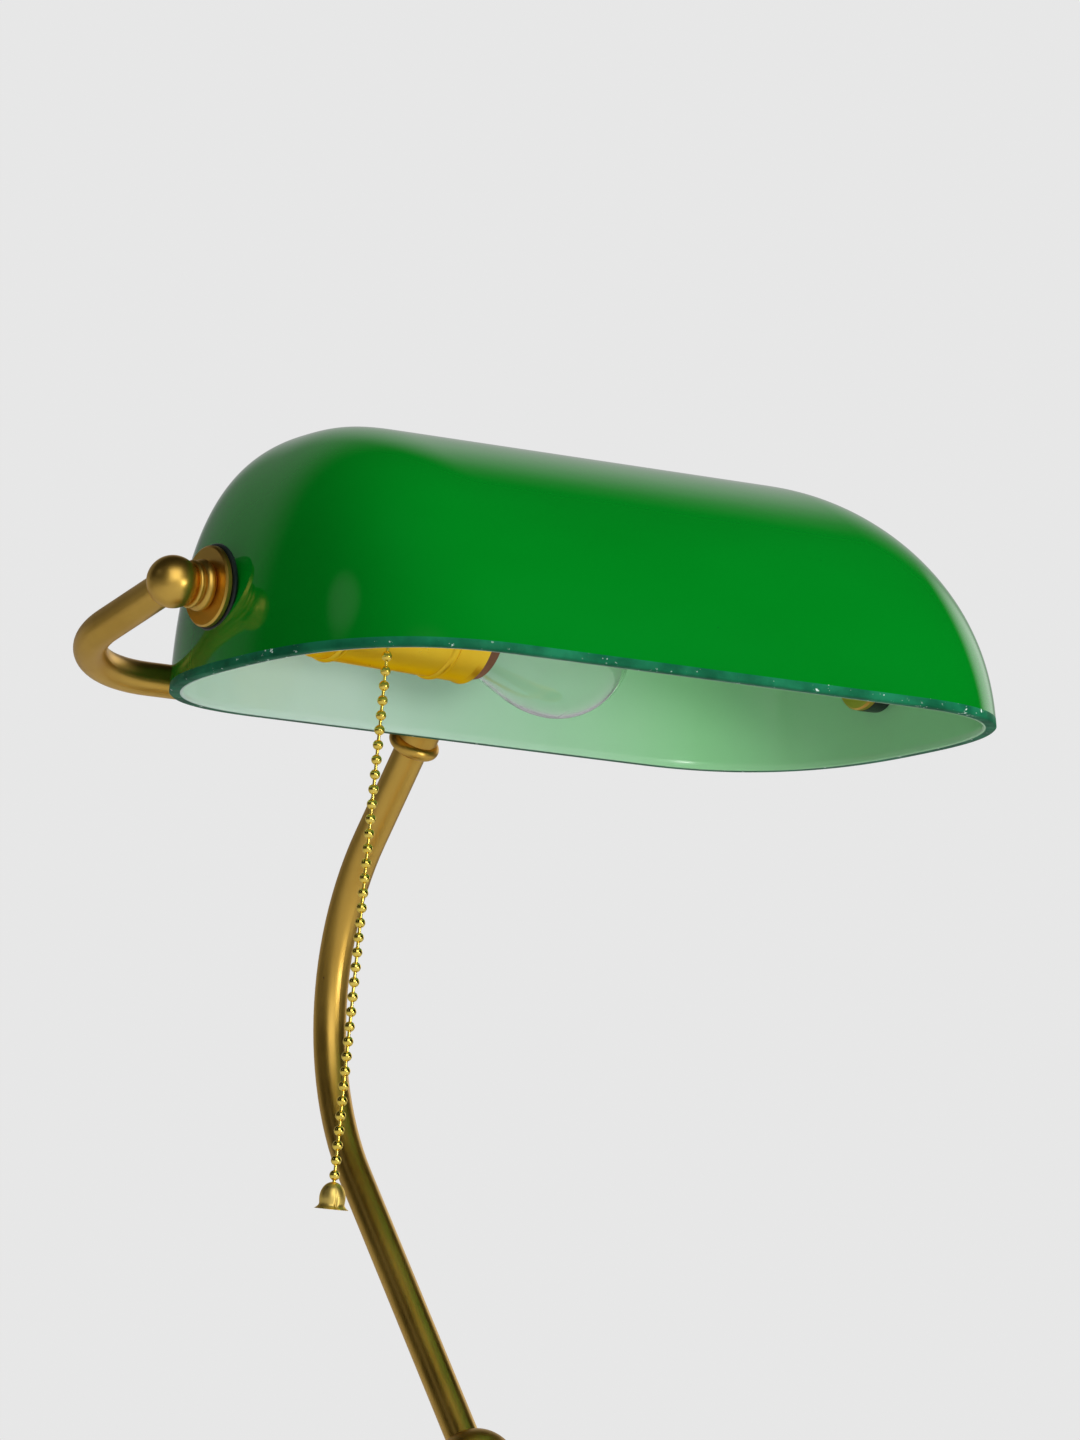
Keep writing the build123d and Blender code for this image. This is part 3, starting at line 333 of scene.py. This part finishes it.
def drill_pivot_holes(piece):
    """Cuts the two round holes that the pivots pass through, with a rod along the pivot axis."""
    swing = np.linspace(0, 2 * math.pi, HOLE_STEPS, endpoint=False)
    x = np.array([-1.0, -1.0, 1.0, 1.0]) * SHADE_LENGTH
    reach = np.array([0.0, HOLE_RADIUS, HOLE_RADIUS, 0.0])
    x = np.repeat(x[:, None], HOLE_STEPS, 1)
    y = PIVOT[1] + np.outer(reach, np.cos(swing))
    z = PIVOT[2] + np.outer(reach, np.sin(swing))
    drill = grid_surface("drill", np.stack([x, y, z], -1))
    close_surface(drill)
    cut = piece.modifiers.new("holes", "BOOLEAN")
    cut.object = drill
    cut.solver = "EXACT"
    shape = piece.evaluated_get(bpy.context.evaluated_depsgraph_get())
    drilled = bpy.data.meshes.new_from_object(shape)
    piece.modifiers.clear()
    piece.data = drilled
    bpy.data.objects.remove(drill)


def shade_glass():
    """The blown shade as one closed wall: outlines up the inside and outside, with a ground rim between."""
    swing = np.linspace(0, 2 * math.pi, SWING_STEPS, endpoint=False)
    climb = np.sin(np.linspace(0, math.pi / 2, CLIMB_STEPS)) ** CLIMB_POWER
    outer = [shade_outline(r, 0.0, swing) for r in climb]
    inner = [shade_outline(r, GLASS_WALL, swing) for r in climb]
    across = outer[0] - inner[0]
    lift = np.array([0, 0, RIM_BEVEL])
    shares = (RIM_BEVEL / GLASS_WALL, OPAL_LAYER / GLASS_WALL, 1 - RIM_BEVEL / GLASS_WALL)
    rim = [inner[0] + lift] + [inner[0] + across * share for share in shares] + [outer[0] + lift]
    points = tilt_into_place(np.array(inner[:0:-1] + rim + outer[1:]))
    piece = grid_surface("shade_glass", points)
    row_finish = np.zeros(len(points) - 1, dtype=np.int32)
    row_finish[: CLIMB_STEPS + 1] = 1
    row_finish[CLIMB_STEPS + 1 : CLIMB_STEPS + 4] = 2
    for material in (green_glass_material(), opal_material(), ground_rim_material()):
        piece.data.materials.append(material)
    piece.data.polygons.foreach_set("material_index", np.repeat(row_finish, SWING_STEPS))
    close_surface(piece)
    drill_pivot_holes(piece)
    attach(piece, "shade")
    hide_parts("glass_shade")


def bell_skin():
    """The stamped bell: a superellipse dome, a slight waist and a flared lip, split by one rolled seam.

    Outside radius = R (1 - (1 - t)^p)^(1/p) over the dome, then near R, then out to the lip with about the
    square of the way down. The seam is a groove in the radius that deepens and widens towards the lip.
    """
    low, high = (np.array(c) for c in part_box("bell_pull"))
    middle = (low + high) / 2
    lip = (high[0] - low[0]) / 2
    body = lip * BELL_BODY
    tall = high[2] - low[2]
    down = np.linspace(0, 1, 40)
    dome = np.clip(down / BELL_DOME_END, 0, 1)
    outside = body * (1 - (1 - dome) ** BELL_DOME_POWER) ** (1 / BELL_DOME_POWER)
    waist = np.clip((down - BELL_DOME_END) / (BELL_WAIST_END - BELL_DOME_END), 0, 1)
    outside = outside * (1 - BELL_WAIST * waist)
    flare = np.clip((down - BELL_FLARE_START) / (1 - BELL_FLARE_START), 0, 1)
    outside = outside + (lip - outside) * flare**BELL_FLARE_POWER
    outside = np.maximum(outside, BELL_BORE)
    height = high[2] - down * tall
    inside = np.maximum(outside - BELL_WALL, BELL_BORE)
    inside_height = np.minimum(height, high[2] - BELL_WALL)
    radius = np.concatenate([outside, inside[::-1]])
    heights = np.concatenate([height, inside_height[::-1]])

    def seam(along, swing):
        fall = np.clip(1 - np.abs(2 * along - 1), 0, 1)
        turn = np.angle(np.exp(1j * (swing - BELL_SEAM_AT)))
        width = BELL_SEAM_WIDTH[0] + BELL_SEAM_WIDTH[1] * fall
        return -BELL_SEAM_DEPTH * np.clip(fall - BELL_SEAM_START, 0, 1) * np.exp(-((turn / width) ** 2))

    radius = np.append(radius, radius[0])
    heights = np.append(heights, heights[0])
    piece = turned_surface("bell_skin", radius, heights, middle[:2], 180, seam)
    piece.data.materials.append(brass_material("bell_gold", BELL_TONES, (0.38, 0.5), 0.08, (1, 1, 0.3)))
    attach(piece, "chain")
    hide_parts("bell_pull")
    return piece


def gasket_disc(hand, rubber):
    """A rubber washer behind a flange: a thin disc with a round edge, and a neck back towards the glass.

    Its profile is a half circle of edge, r = R - e + e sin a and depth = e - e cos a, with flat faces on
    both sides, and it turns about the pivot axis.
    """
    node = f"outer_gasket_{hand}"
    low, high = (np.array(c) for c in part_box(node))
    side = 1 if hand == "right" else -1
    face = high[0] if hand == "right" else low[0]
    deep = abs(high[0] - low[0])
    radius = (high[2] - low[2]) / 2
    edge = GASKET_THICKNESS / 2
    turn = np.linspace(0, math.pi, 13)
    rim_reach = radius - edge + edge * np.sin(turn)
    rim_back = edge - edge * np.cos(turn)
    neck_end = deep * GASKET_NECK_DEPTH
    neck_reach = [GASKET_NECK, GASKET_NECK * GASKET_NECK_TAPER, GASKET_BORE, GASKET_BORE]
    reach = np.concatenate([[GASKET_BORE], rim_reach, neck_reach])
    back = np.concatenate([[0.0], rim_back, [GASKET_THICKNESS, neck_end, neck_end, 0.0]])
    swing = np.linspace(0, 2 * math.pi, 96, endpoint=False)
    x = np.repeat((face - side * back)[:, None], 96, 1)
    y = PIVOT[1] + np.outer(reach, np.cos(swing))
    z = PIVOT[2] + np.outer(reach, np.sin(swing))
    piece = grid_surface(f"gasket_disc_{hand}", np.stack([x, y, z], -1))
    close_surface(piece)
    piece.data.materials.append(rubber)
    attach(piece, "shade")
    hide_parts(node)


def felt_disc():
    """The felt under the foot: a flat disc whose cut edge is round and waves a little, r = R - wave(a)."""
    low, high = (np.array(c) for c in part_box("felt_pad"))
    radius = (high[0] - low[0]) / 2
    thick = high[2] - low[2]
    turn = np.linspace(-math.pi / 2, math.pi / 2, 9)
    edge = radius - thick * FELT_EDGE_ROUND * (1 - np.cos(turn))
    edge_height = low[2] + thick * (0.5 + 0.5 * np.sin(turn))
    flat = np.array([0.0, 0.3, 0.6, 0.85, 0.95]) * radius
    radii = np.concatenate([flat, edge, flat[::-1]])
    heights = np.concatenate([np.full(5, low[2]), edge_height, np.full(5, high[2])])

    def wave(along, swing):
        ripple = 0.5 + sum(share * np.sin(count * swing + start) for count, start, share in FELT_WAVES)
        near_edge = np.exp(-(((along - 0.5) / 0.25) ** 2))
        return -FELT_EDGE_WAVE * ripple * near_edge

    piece = turned_surface("felt_disc", radii, heights, (0, 0), 360, wave)
    piece.data.materials.append(felt_material())
    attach(piece, "stand")
    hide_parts("felt_pad")


# ------------------------------------------------------------------ shared effects
def new_effect(name, inputs, outputs):
    """A shader node group that starts from Object coordinates. Returns (group, start, end, coordinate)."""
    group = bpy.data.node_groups.new(name, "ShaderNodeTree")
    for title, kind, value in inputs:
        socket = group.interface.new_socket(title, in_out="INPUT", socket_type=kind)
        socket.default_value = value
    for title, kind in outputs:
        group.interface.new_socket(title, in_out="OUTPUT", socket_type=kind)
    start = group.nodes.new("NodeGroupInput")
    end = group.nodes.new("NodeGroupOutput")
    place = group.nodes.new("ShaderNodeTexCoord")
    stretch = group.nodes.new("ShaderNodeVectorMath")
    stretch.operation = "MULTIPLY"
    group.links.new(place.outputs["Object"], stretch.inputs[0])
    group.links.new(start.outputs["Stretch"], stretch.inputs[1])
    return group, start, end, stretch.outputs["Vector"]


def noise_in(group, vector, scale, detail, rough):
    """Noise inside an effect, its scale from a socket or a number."""
    noise = group.nodes.new("ShaderNodeTexNoise")
    noise.inputs["Detail"].default_value = detail
    noise.inputs["Roughness"].default_value = rough
    group.links.new(vector, noise.inputs["Vector"])
    group.links.new(scale, noise.inputs["Scale"])
    return noise.outputs["Fac"]


def times(group, value, factor):
    """A socket's value times a number."""
    node = group.nodes.new("ShaderNodeMath")
    node.operation = "MULTIPLY"
    node.inputs[1].default_value = factor
    group.links.new(value, node.inputs[0])
    return node.outputs["Value"]


def between(group, value, low, high, to_low=0.0, to_high=1.0):
    """A value spread from low..high to a new span, with the ends held. The new ends may be sockets."""
    node = group.nodes.new("ShaderNodeMapRange")
    node.inputs["From Min"].default_value = low
    node.inputs["From Max"].default_value = high
    group.links.new(value, node.inputs["Value"])
    for title, end in (("To Min", to_low), ("To Max", to_high)):
        if isinstance(end, (int, float)):
            node.inputs[title].default_value = end
        else:
            group.links.new(end, node.inputs[title])
    return node.outputs["Result"]


def blend_colours(group, share, first, second):
    """A mix of two colours, each a socket or a triple."""
    node = group.nodes.new("ShaderNodeMix")
    node.data_type = "RGBA"
    for slot, colour in zip(MIX_COLOURS, (first, second)):
        if isinstance(colour, tuple):
            node.inputs[slot].default_value = (*colour[:3], 1)
        else:
            group.links.new(colour, node.inputs[slot])
    group.links.new(share, node.inputs[0])
    return node.outputs[MIX_RESULT]


def drift_effect():
    """Slow change of colour and gloss over a surface, as handling and finishing leave it."""
    group, start, end, place = new_effect(
        "finish_drift",
        [
            ("Stretch", "NodeSocketVector", (1, 1, 1)),
            ("Scale", "NodeSocketFloat", 20.0),
            ("Low", "NodeSocketColor", (0, 0, 0, 1)),
            ("High", "NodeSocketColor", (1, 1, 1, 1)),
            ("Gloss Low", "NodeSocketFloat", 0.2),
            ("Gloss High", "NodeSocketFloat", 0.4),
        ],
        [("Color", "NodeSocketColor"), ("Roughness", "NodeSocketFloat")],
    )
    slow = noise_in(group, place, start.outputs["Scale"], 4.0, 0.55)
    fast = noise_in(group, place, times(group, start.outputs["Scale"], 2.7), 4.0, 0.6)
    share = between(group, slow, 0.35, 0.65)
    colour = blend_colours(group, share, start.outputs["Low"], start.outputs["High"])
    gloss = between(group, fast, 0.3, 0.7, start.outputs["Gloss Low"], start.outputs["Gloss High"])
    group.links.new(colour, end.inputs["Color"])
    group.links.new(gloss, end.inputs["Roughness"])
    return group


def grain_effect():
    """Fine stretched grain of brushing, casting or grinding, as a height from 0 to 1."""
    group, start, end, place = new_effect(
        "surface_grain",
        [("Stretch", "NodeSocketVector", (1, 1, 1)), ("Scale", "NodeSocketFloat", 800.0)],
        [("Height", "NodeSocketFloat")],
    )
    fine = noise_in(group, place, start.outputs["Scale"], 3.0, 0.6)
    coarse = noise_in(group, place, times(group, start.outputs["Scale"], 0.23), 2.0, 0.5)
    both = group.nodes.new("ShaderNodeMath")
    both.operation = "MULTIPLY_ADD"
    both.inputs[1].default_value = 0.6
    group.links.new(fine, both.inputs[0])
    group.links.new(times(group, coarse, 0.4), both.inputs[2])
    group.links.new(both.outputs["Value"], end.inputs["Height"])
    return group


def fleck_effect():
    """Small scattered flecks, such as chips, tarnish spots or dust, as a mask."""
    group, start, end, place = new_effect(
        "scattered_flecks",
        [
            ("Stretch", "NodeSocketVector", (1, 1, 1)),
            ("Scale", "NodeSocketFloat", 200.0),
            ("Cover", "NodeSocketFloat", 0.1),
        ],
        [("Mask", "NodeSocketFloat")],
    )
    fleck = noise_in(group, place, start.outputs["Scale"], 3.0, 0.65)
    field = noise_in(group, place, times(group, start.outputs["Scale"], 0.17), 2.0, 0.5)
    both = group.nodes.new("ShaderNodeMath")
    group.links.new(times(group, fleck, 0.7), both.inputs[0])
    group.links.new(times(group, field, 0.3), both.inputs[1])
    lifted = group.nodes.new("ShaderNodeMath")
    group.links.new(both.outputs["Value"], lifted.inputs[0])
    group.links.new(start.outputs["Cover"], lifted.inputs[1])
    group.links.new(between(group, lifted.outputs["Value"], 0.66, 0.7), end.inputs["Mask"])
    return group


EFFECTS = {"drift": drift_effect(), "grain": grain_effect(), "fleck": fleck_effect()}


# ------------------------------------------------------------------ materials
def new_material(name):
    """A node material with its Principled shader. Returns (material, tree, shader)."""
    material = bpy.data.materials.new(name)
    material.use_nodes = True
    tree = material.node_tree
    return material, tree, tree.nodes["Principled BSDF"]


def use_effect(tree, effect, **values):
    """Places a shared effect in a material with its own values, named with _ for spaces."""
    node = tree.nodes.new("ShaderNodeGroup")
    node.node_tree = EFFECTS[effect]
    for title, value in values.items():
        if isinstance(value, tuple) and title in ("Low", "High"):
            value = (*value, 1)
        node.inputs[title.replace("_", " ")].default_value = value
    return node.outputs


def add_bump(tree, shader, height, strength, distance):
    """A bump from a height on the shader; distance in metres."""
    node = tree.nodes.new("ShaderNodeBump")
    node.inputs["Strength"].default_value = strength
    node.inputs["Distance"].default_value = distance
    tree.links.new(height, node.inputs["Height"])
    tree.links.new(node.outputs["Normal"], shader.inputs["Normal"])


def object_place(tree):
    """The surface's own place in metres."""
    return tree.nodes.new("ShaderNodeTexCoord").outputs["Object"]


def paper_material():
    """Matt white studio paper."""
    material, _, shader = new_material("studio_paper")
    shader.inputs["Base Color"].default_value = (0.62, 0.625, 0.635, 1)
    shader.inputs["Roughness"].default_value = 1.0
    shader.inputs["Specular IOR Level"].default_value = 0.0
    return material


def green_glass_material():
    """Green glass over opal: deep colour with slow streaks and a few specks, under a polished surface."""
    material, tree, shader = new_material("green_cased_glass")
    drift = use_effect(
        tree, "drift", Scale=7.0, Stretch=(0.5, 1, 1), Low=(0.0, 0.15, 0.007), High=(0.0, 0.185, 0.01),
        Gloss_Low=0.02, Gloss_High=0.06,
    )
    specks = use_effect(tree, "fleck", Scale=260.0, Stretch=(0.5, 1, 1), Cover=-0.045)
    colour = blend_colours(tree, specks["Mask"], drift["Color"], (0.0, 0.05, 0.01))
    tree.links.new(colour, shader.inputs["Base Color"])
    tree.links.new(drift["Roughness"], shader.inputs["Roughness"])
    shader.inputs["IOR"].default_value = 1.5
    waves = use_effect(tree, "grain", Scale=30.0, Stretch=(0.6, 1, 1))
    add_bump(tree, shader, waves["Height"], 0.2, 0.0006)
    return material


def opal_material():
    """The opal inside: milky white, with painted green shade that grows to the right and upwards."""
    material, tree, shader = new_material("opal_casing")
    axes = tree.nodes.new("ShaderNodeSeparateXYZ")
    tree.links.new(object_place(tree), axes.inputs["Vector"])
    # Painted green shade: the inside turns greener and darker towards the right and upwards, as light falls there.
    painted_green_shade = tree.nodes.new("ShaderNodeMath")
    tree.links.new(between(tree, axes.outputs["X"], -0.04, 0.09), painted_green_shade.inputs[0])
    tree.links.new(between(tree, axes.outputs["Z"], 0.305, 0.352, 0.0, 0.3), painted_green_shade.inputs[1])
    painted_green_shade.use_clamp = True
    drift = use_effect(
        tree, "drift", Scale=9.0, Low=(0.52, 0.72, 0.6), High=(0.62, 0.8, 0.7),
        Gloss_Low=0.12, Gloss_High=0.22,
    )
    # The painted green shade, at most nine tenths of the way, over the milky opal.
    share = times(tree, painted_green_shade.outputs["Value"], 0.9)
    colour = blend_colours(tree, share, drift["Color"], (0.26, 0.64, 0.28))
    tree.links.new(colour, shader.inputs["Base Color"])
    tree.links.new(drift["Roughness"], shader.inputs["Roughness"])
    ripple = use_effect(tree, "grain", Scale=40.0)
    add_bump(tree, shader, ripple["Height"], 0.15, 0.0004)
    shader.inputs["IOR"].default_value = 1.5
    return material


def ground_rim_material():
    """The ground edge of the glass: dark frosted green with small pale chips along it."""
    material, tree, shader = new_material("ground_rim")
    drift = use_effect(
        tree, "drift", Scale=90.0, Low=(0.003, 0.085, 0.036), High=(0.01, 0.17, 0.075),
        Gloss_Low=0.4, Gloss_High=0.55,
    )
    chips = use_effect(tree, "fleck", Scale=420.0, Cover=0.045)
    colour = blend_colours(tree, chips["Mask"], drift["Color"], (0.6, 0.76, 0.68))
    tree.links.new(colour, shader.inputs["Base Color"])
    tree.links.new(drift["Roughness"], shader.inputs["Roughness"])
    shader.inputs["Specular IOR Level"].default_value = 0.06
    grain = use_effect(tree, "grain", Scale=1400.0)
    add_bump(tree, shader, grain["Height"], 0.35, 0.00012)
    return material


def brass_material(name, tones, gloss, grain_strength, stretch, lacquer=0.0):
    """Brass: a warm tone that drifts, brown tarnish flecks, changing gloss, a fine grain, and lacquer."""
    material, tree, shader = new_material(name)
    drift = use_effect(
        tree, "drift", Scale=26.0, Low=tones[0], High=tones[1], Gloss_Low=gloss[0], Gloss_High=gloss[1]
    )
    spots = use_effect(tree, "fleck", Scale=340.0, Cover=-0.04)
    colour = blend_colours(tree, spots["Mask"], drift["Color"], tones[2])
    tree.links.new(colour, shader.inputs["Base Color"])
    tree.links.new(drift["Roughness"], shader.inputs["Roughness"])
    shader.inputs["Metallic"].default_value = 1.0
    shader.inputs["Specular Tint"].default_value = (*tones[3], 1)
    shader.inputs["Coat Weight"].default_value = lacquer
    shader.inputs["Coat Roughness"].default_value = 0.22
    grain = use_effect(tree, "grain", Scale=900.0, Stretch=stretch)
    add_bump(tree, shader, grain["Height"], grain_strength, 0.00004)
    return material


def solid_material(name, low, high, gloss, metallic=0.0, grain=(0.3, 600.0, 0.00004)):
    """A plain stuff whose colour and gloss drift, with its own grain given as (strength, scale, metres)."""
    material, tree, shader = new_material(name)
    drift = use_effect(
        tree, "drift", Scale=60.0, Low=low, High=high, Gloss_Low=gloss[0], Gloss_High=gloss[1]
    )
    tree.links.new(drift["Color"], shader.inputs["Base Color"])
    tree.links.new(drift["Roughness"], shader.inputs["Roughness"])
    shader.inputs["Metallic"].default_value = metallic
    texture = use_effect(tree, "grain", Scale=grain[1])
    add_bump(tree, shader, texture["Height"], grain[0], grain[2])
    return material


def felt_material():
    """Pressed wool felt: dark green-black fibres with pale lint, matt, with a soft sheen."""
    material, tree, shader = new_material("pressed_felt")
    drift = use_effect(
        tree, "drift", Scale=260.0, Low=(0.006, 0.011, 0.008), High=(0.026, 0.036, 0.028),
        Gloss_Low=0.9, Gloss_High=1.0,
    )
    lint = use_effect(tree, "fleck", Scale=1500.0, Stretch=(1, 1, 0.4), Cover=0.03)
    colour = blend_colours(tree, lint["Mask"], drift["Color"], (0.1, 0.11, 0.1))
    tree.links.new(colour, shader.inputs["Base Color"])
    tree.links.new(drift["Roughness"], shader.inputs["Roughness"])
    fibres = use_effect(tree, "grain", Scale=2200.0)
    add_bump(tree, shader, fibres["Height"], 0.8, 0.0004)
    shader.inputs["Sheen Weight"].default_value = 0.4
    shader.inputs["Sheen Roughness"].default_value = 0.6
    return material


def clear_glass_material():
    """Clear blown glass of a bulb, with faint waves."""
    material, tree, shader = new_material("clear_bulb_glass")
    shader.inputs["Base Color"].default_value = (0.97, 0.99, 0.98, 1)
    shader.inputs["Metallic"].default_value = 0.0
    shader.inputs["Transmission Weight"].default_value = 1.0
    shader.inputs["IOR"].default_value = 1.5
    drift = use_effect(tree, "drift", Scale=30.0, Gloss_Low=0.0, Gloss_High=0.02)
    tree.links.new(drift["Roughness"], shader.inputs["Roughness"])
    waves = use_effect(tree, "grain", Scale=60.0)
    add_bump(tree, shader, waves["Height"], 0.1, 0.0003)
    return material


# Tones of each brass: low, high, tarnish and the tint at its edges
SATIN_TONES = ((0.62, 0.37, 0.06), (0.74, 0.46, 0.085), (0.3, 0.16, 0.04), (1.0, 0.86, 0.62))
BRIGHT_TONES = ((0.92, 0.66, 0.1), (0.98, 0.74, 0.15), (0.5, 0.3, 0.07), (1.0, 0.9, 0.6))
SHEET_TONES = ((0.98, 0.6, 0.03), (1.0, 0.68, 0.05), (0.6, 0.33, 0.03), (1.0, 0.72, 0.25))
BARE_TONES = ((0.66, 0.45, 0.18), (0.76, 0.54, 0.24), (0.4, 0.25, 0.08), (1.0, 0.9, 0.7))
BELL_TONES = ((0.9, 0.62, 0.13), (0.97, 0.72, 0.2), (0.5, 0.3, 0.07), (1.0, 0.88, 0.6))


def finish_nodes():
    """Gives every CAD node its finish. Nodes that a piece stands for keep one too. Returns the rubber."""
    satin = brass_material("satin_brass", SATIN_TONES, (0.32, 0.42), 0.12, (1, 1, 0.15), lacquer=0.3)
    bright = brass_material("polished_brass", BRIGHT_TONES, (0.12, 0.2), 0.05, (1, 1, 0.5))
    sheet = brass_material("socket_brass", SHEET_TONES, (0.26, 0.36), 0.1, (0.1, 1, 1))
    bare = brass_material("bare_brass", BARE_TONES, (0.25, 0.4), 0.1, (1, 1, 1))
    finishes = {
        "satin_brass": satin,
        "polished_brass": bright,
        "bare_brass": bare,
        "green_glass": satin,
        "felt": satin,
        "black_rubber": solid_material(
            "black_rubber", (0.006, 0.012, 0.011), (0.012, 0.018, 0.017), (0.28, 0.4),
            grain=(0.3, 900.0, 0.00005),
        ),
        "black_plastic": solid_material(
            "black_plastic", (0.012, 0.012, 0.012), (0.02, 0.02, 0.02), (0.4, 0.55)
        ),
        "cast_iron": solid_material(
            "cast_iron", (0.03, 0.03, 0.032), (0.06, 0.06, 0.062), (0.6, 0.8), grain=(0.7, 250.0, 0.0004)
        ),
        "zinc_steel": solid_material("zinc_steel", (0.5, 0.5, 0.49), (0.62, 0.62, 0.6), (0.28, 0.4), 1.0),
        "tungsten": solid_material("tungsten", (0.12, 0.12, 0.13), (0.2, 0.2, 0.21), (0.35, 0.5), 1.0),
        "nickel_cap": solid_material("nickel_cap", (0.6, 0.59, 0.56), (0.7, 0.69, 0.66), (0.25, 0.38), 1.0),
        "liner_card": solid_material(
            "liner_card", (0.13, 0.05, 0.02), (0.22, 0.09, 0.04), (0.6, 0.8), grain=(0.5, 700.0, 0.0001)
        ),
        "phenolic": solid_material("phenolic", (0.02, 0.012, 0.008), (0.035, 0.02, 0.012), (0.2, 0.35)),
        "black_glass": solid_material(
            "black_glass", (0.01, 0.01, 0.012), (0.02, 0.02, 0.024), (0.08, 0.15)
        ),
        "clear_glass": clear_glass_material(),
    }
    rubber = finishes["black_rubber"]
    slot_of = {row["node"]: row["material_slot"] for row in frame["record"]["subparts"]}
    for name, node in frame["nodes"].items():
        pressed = name in ("socket_cap", "socket_shell")
        node.data.materials.clear()
        node.data.materials.append(sheet if pressed else finishes[slot_of[name]])
    return rubber


add_camera()
add_floor()
add_room()
add_lights()
rubber = finish_nodes()
shade_glass()
add_metal_panel(bell_skin())
gasket_disc("left", rubber)
gasket_disc("right", rubber)
felt_disc()
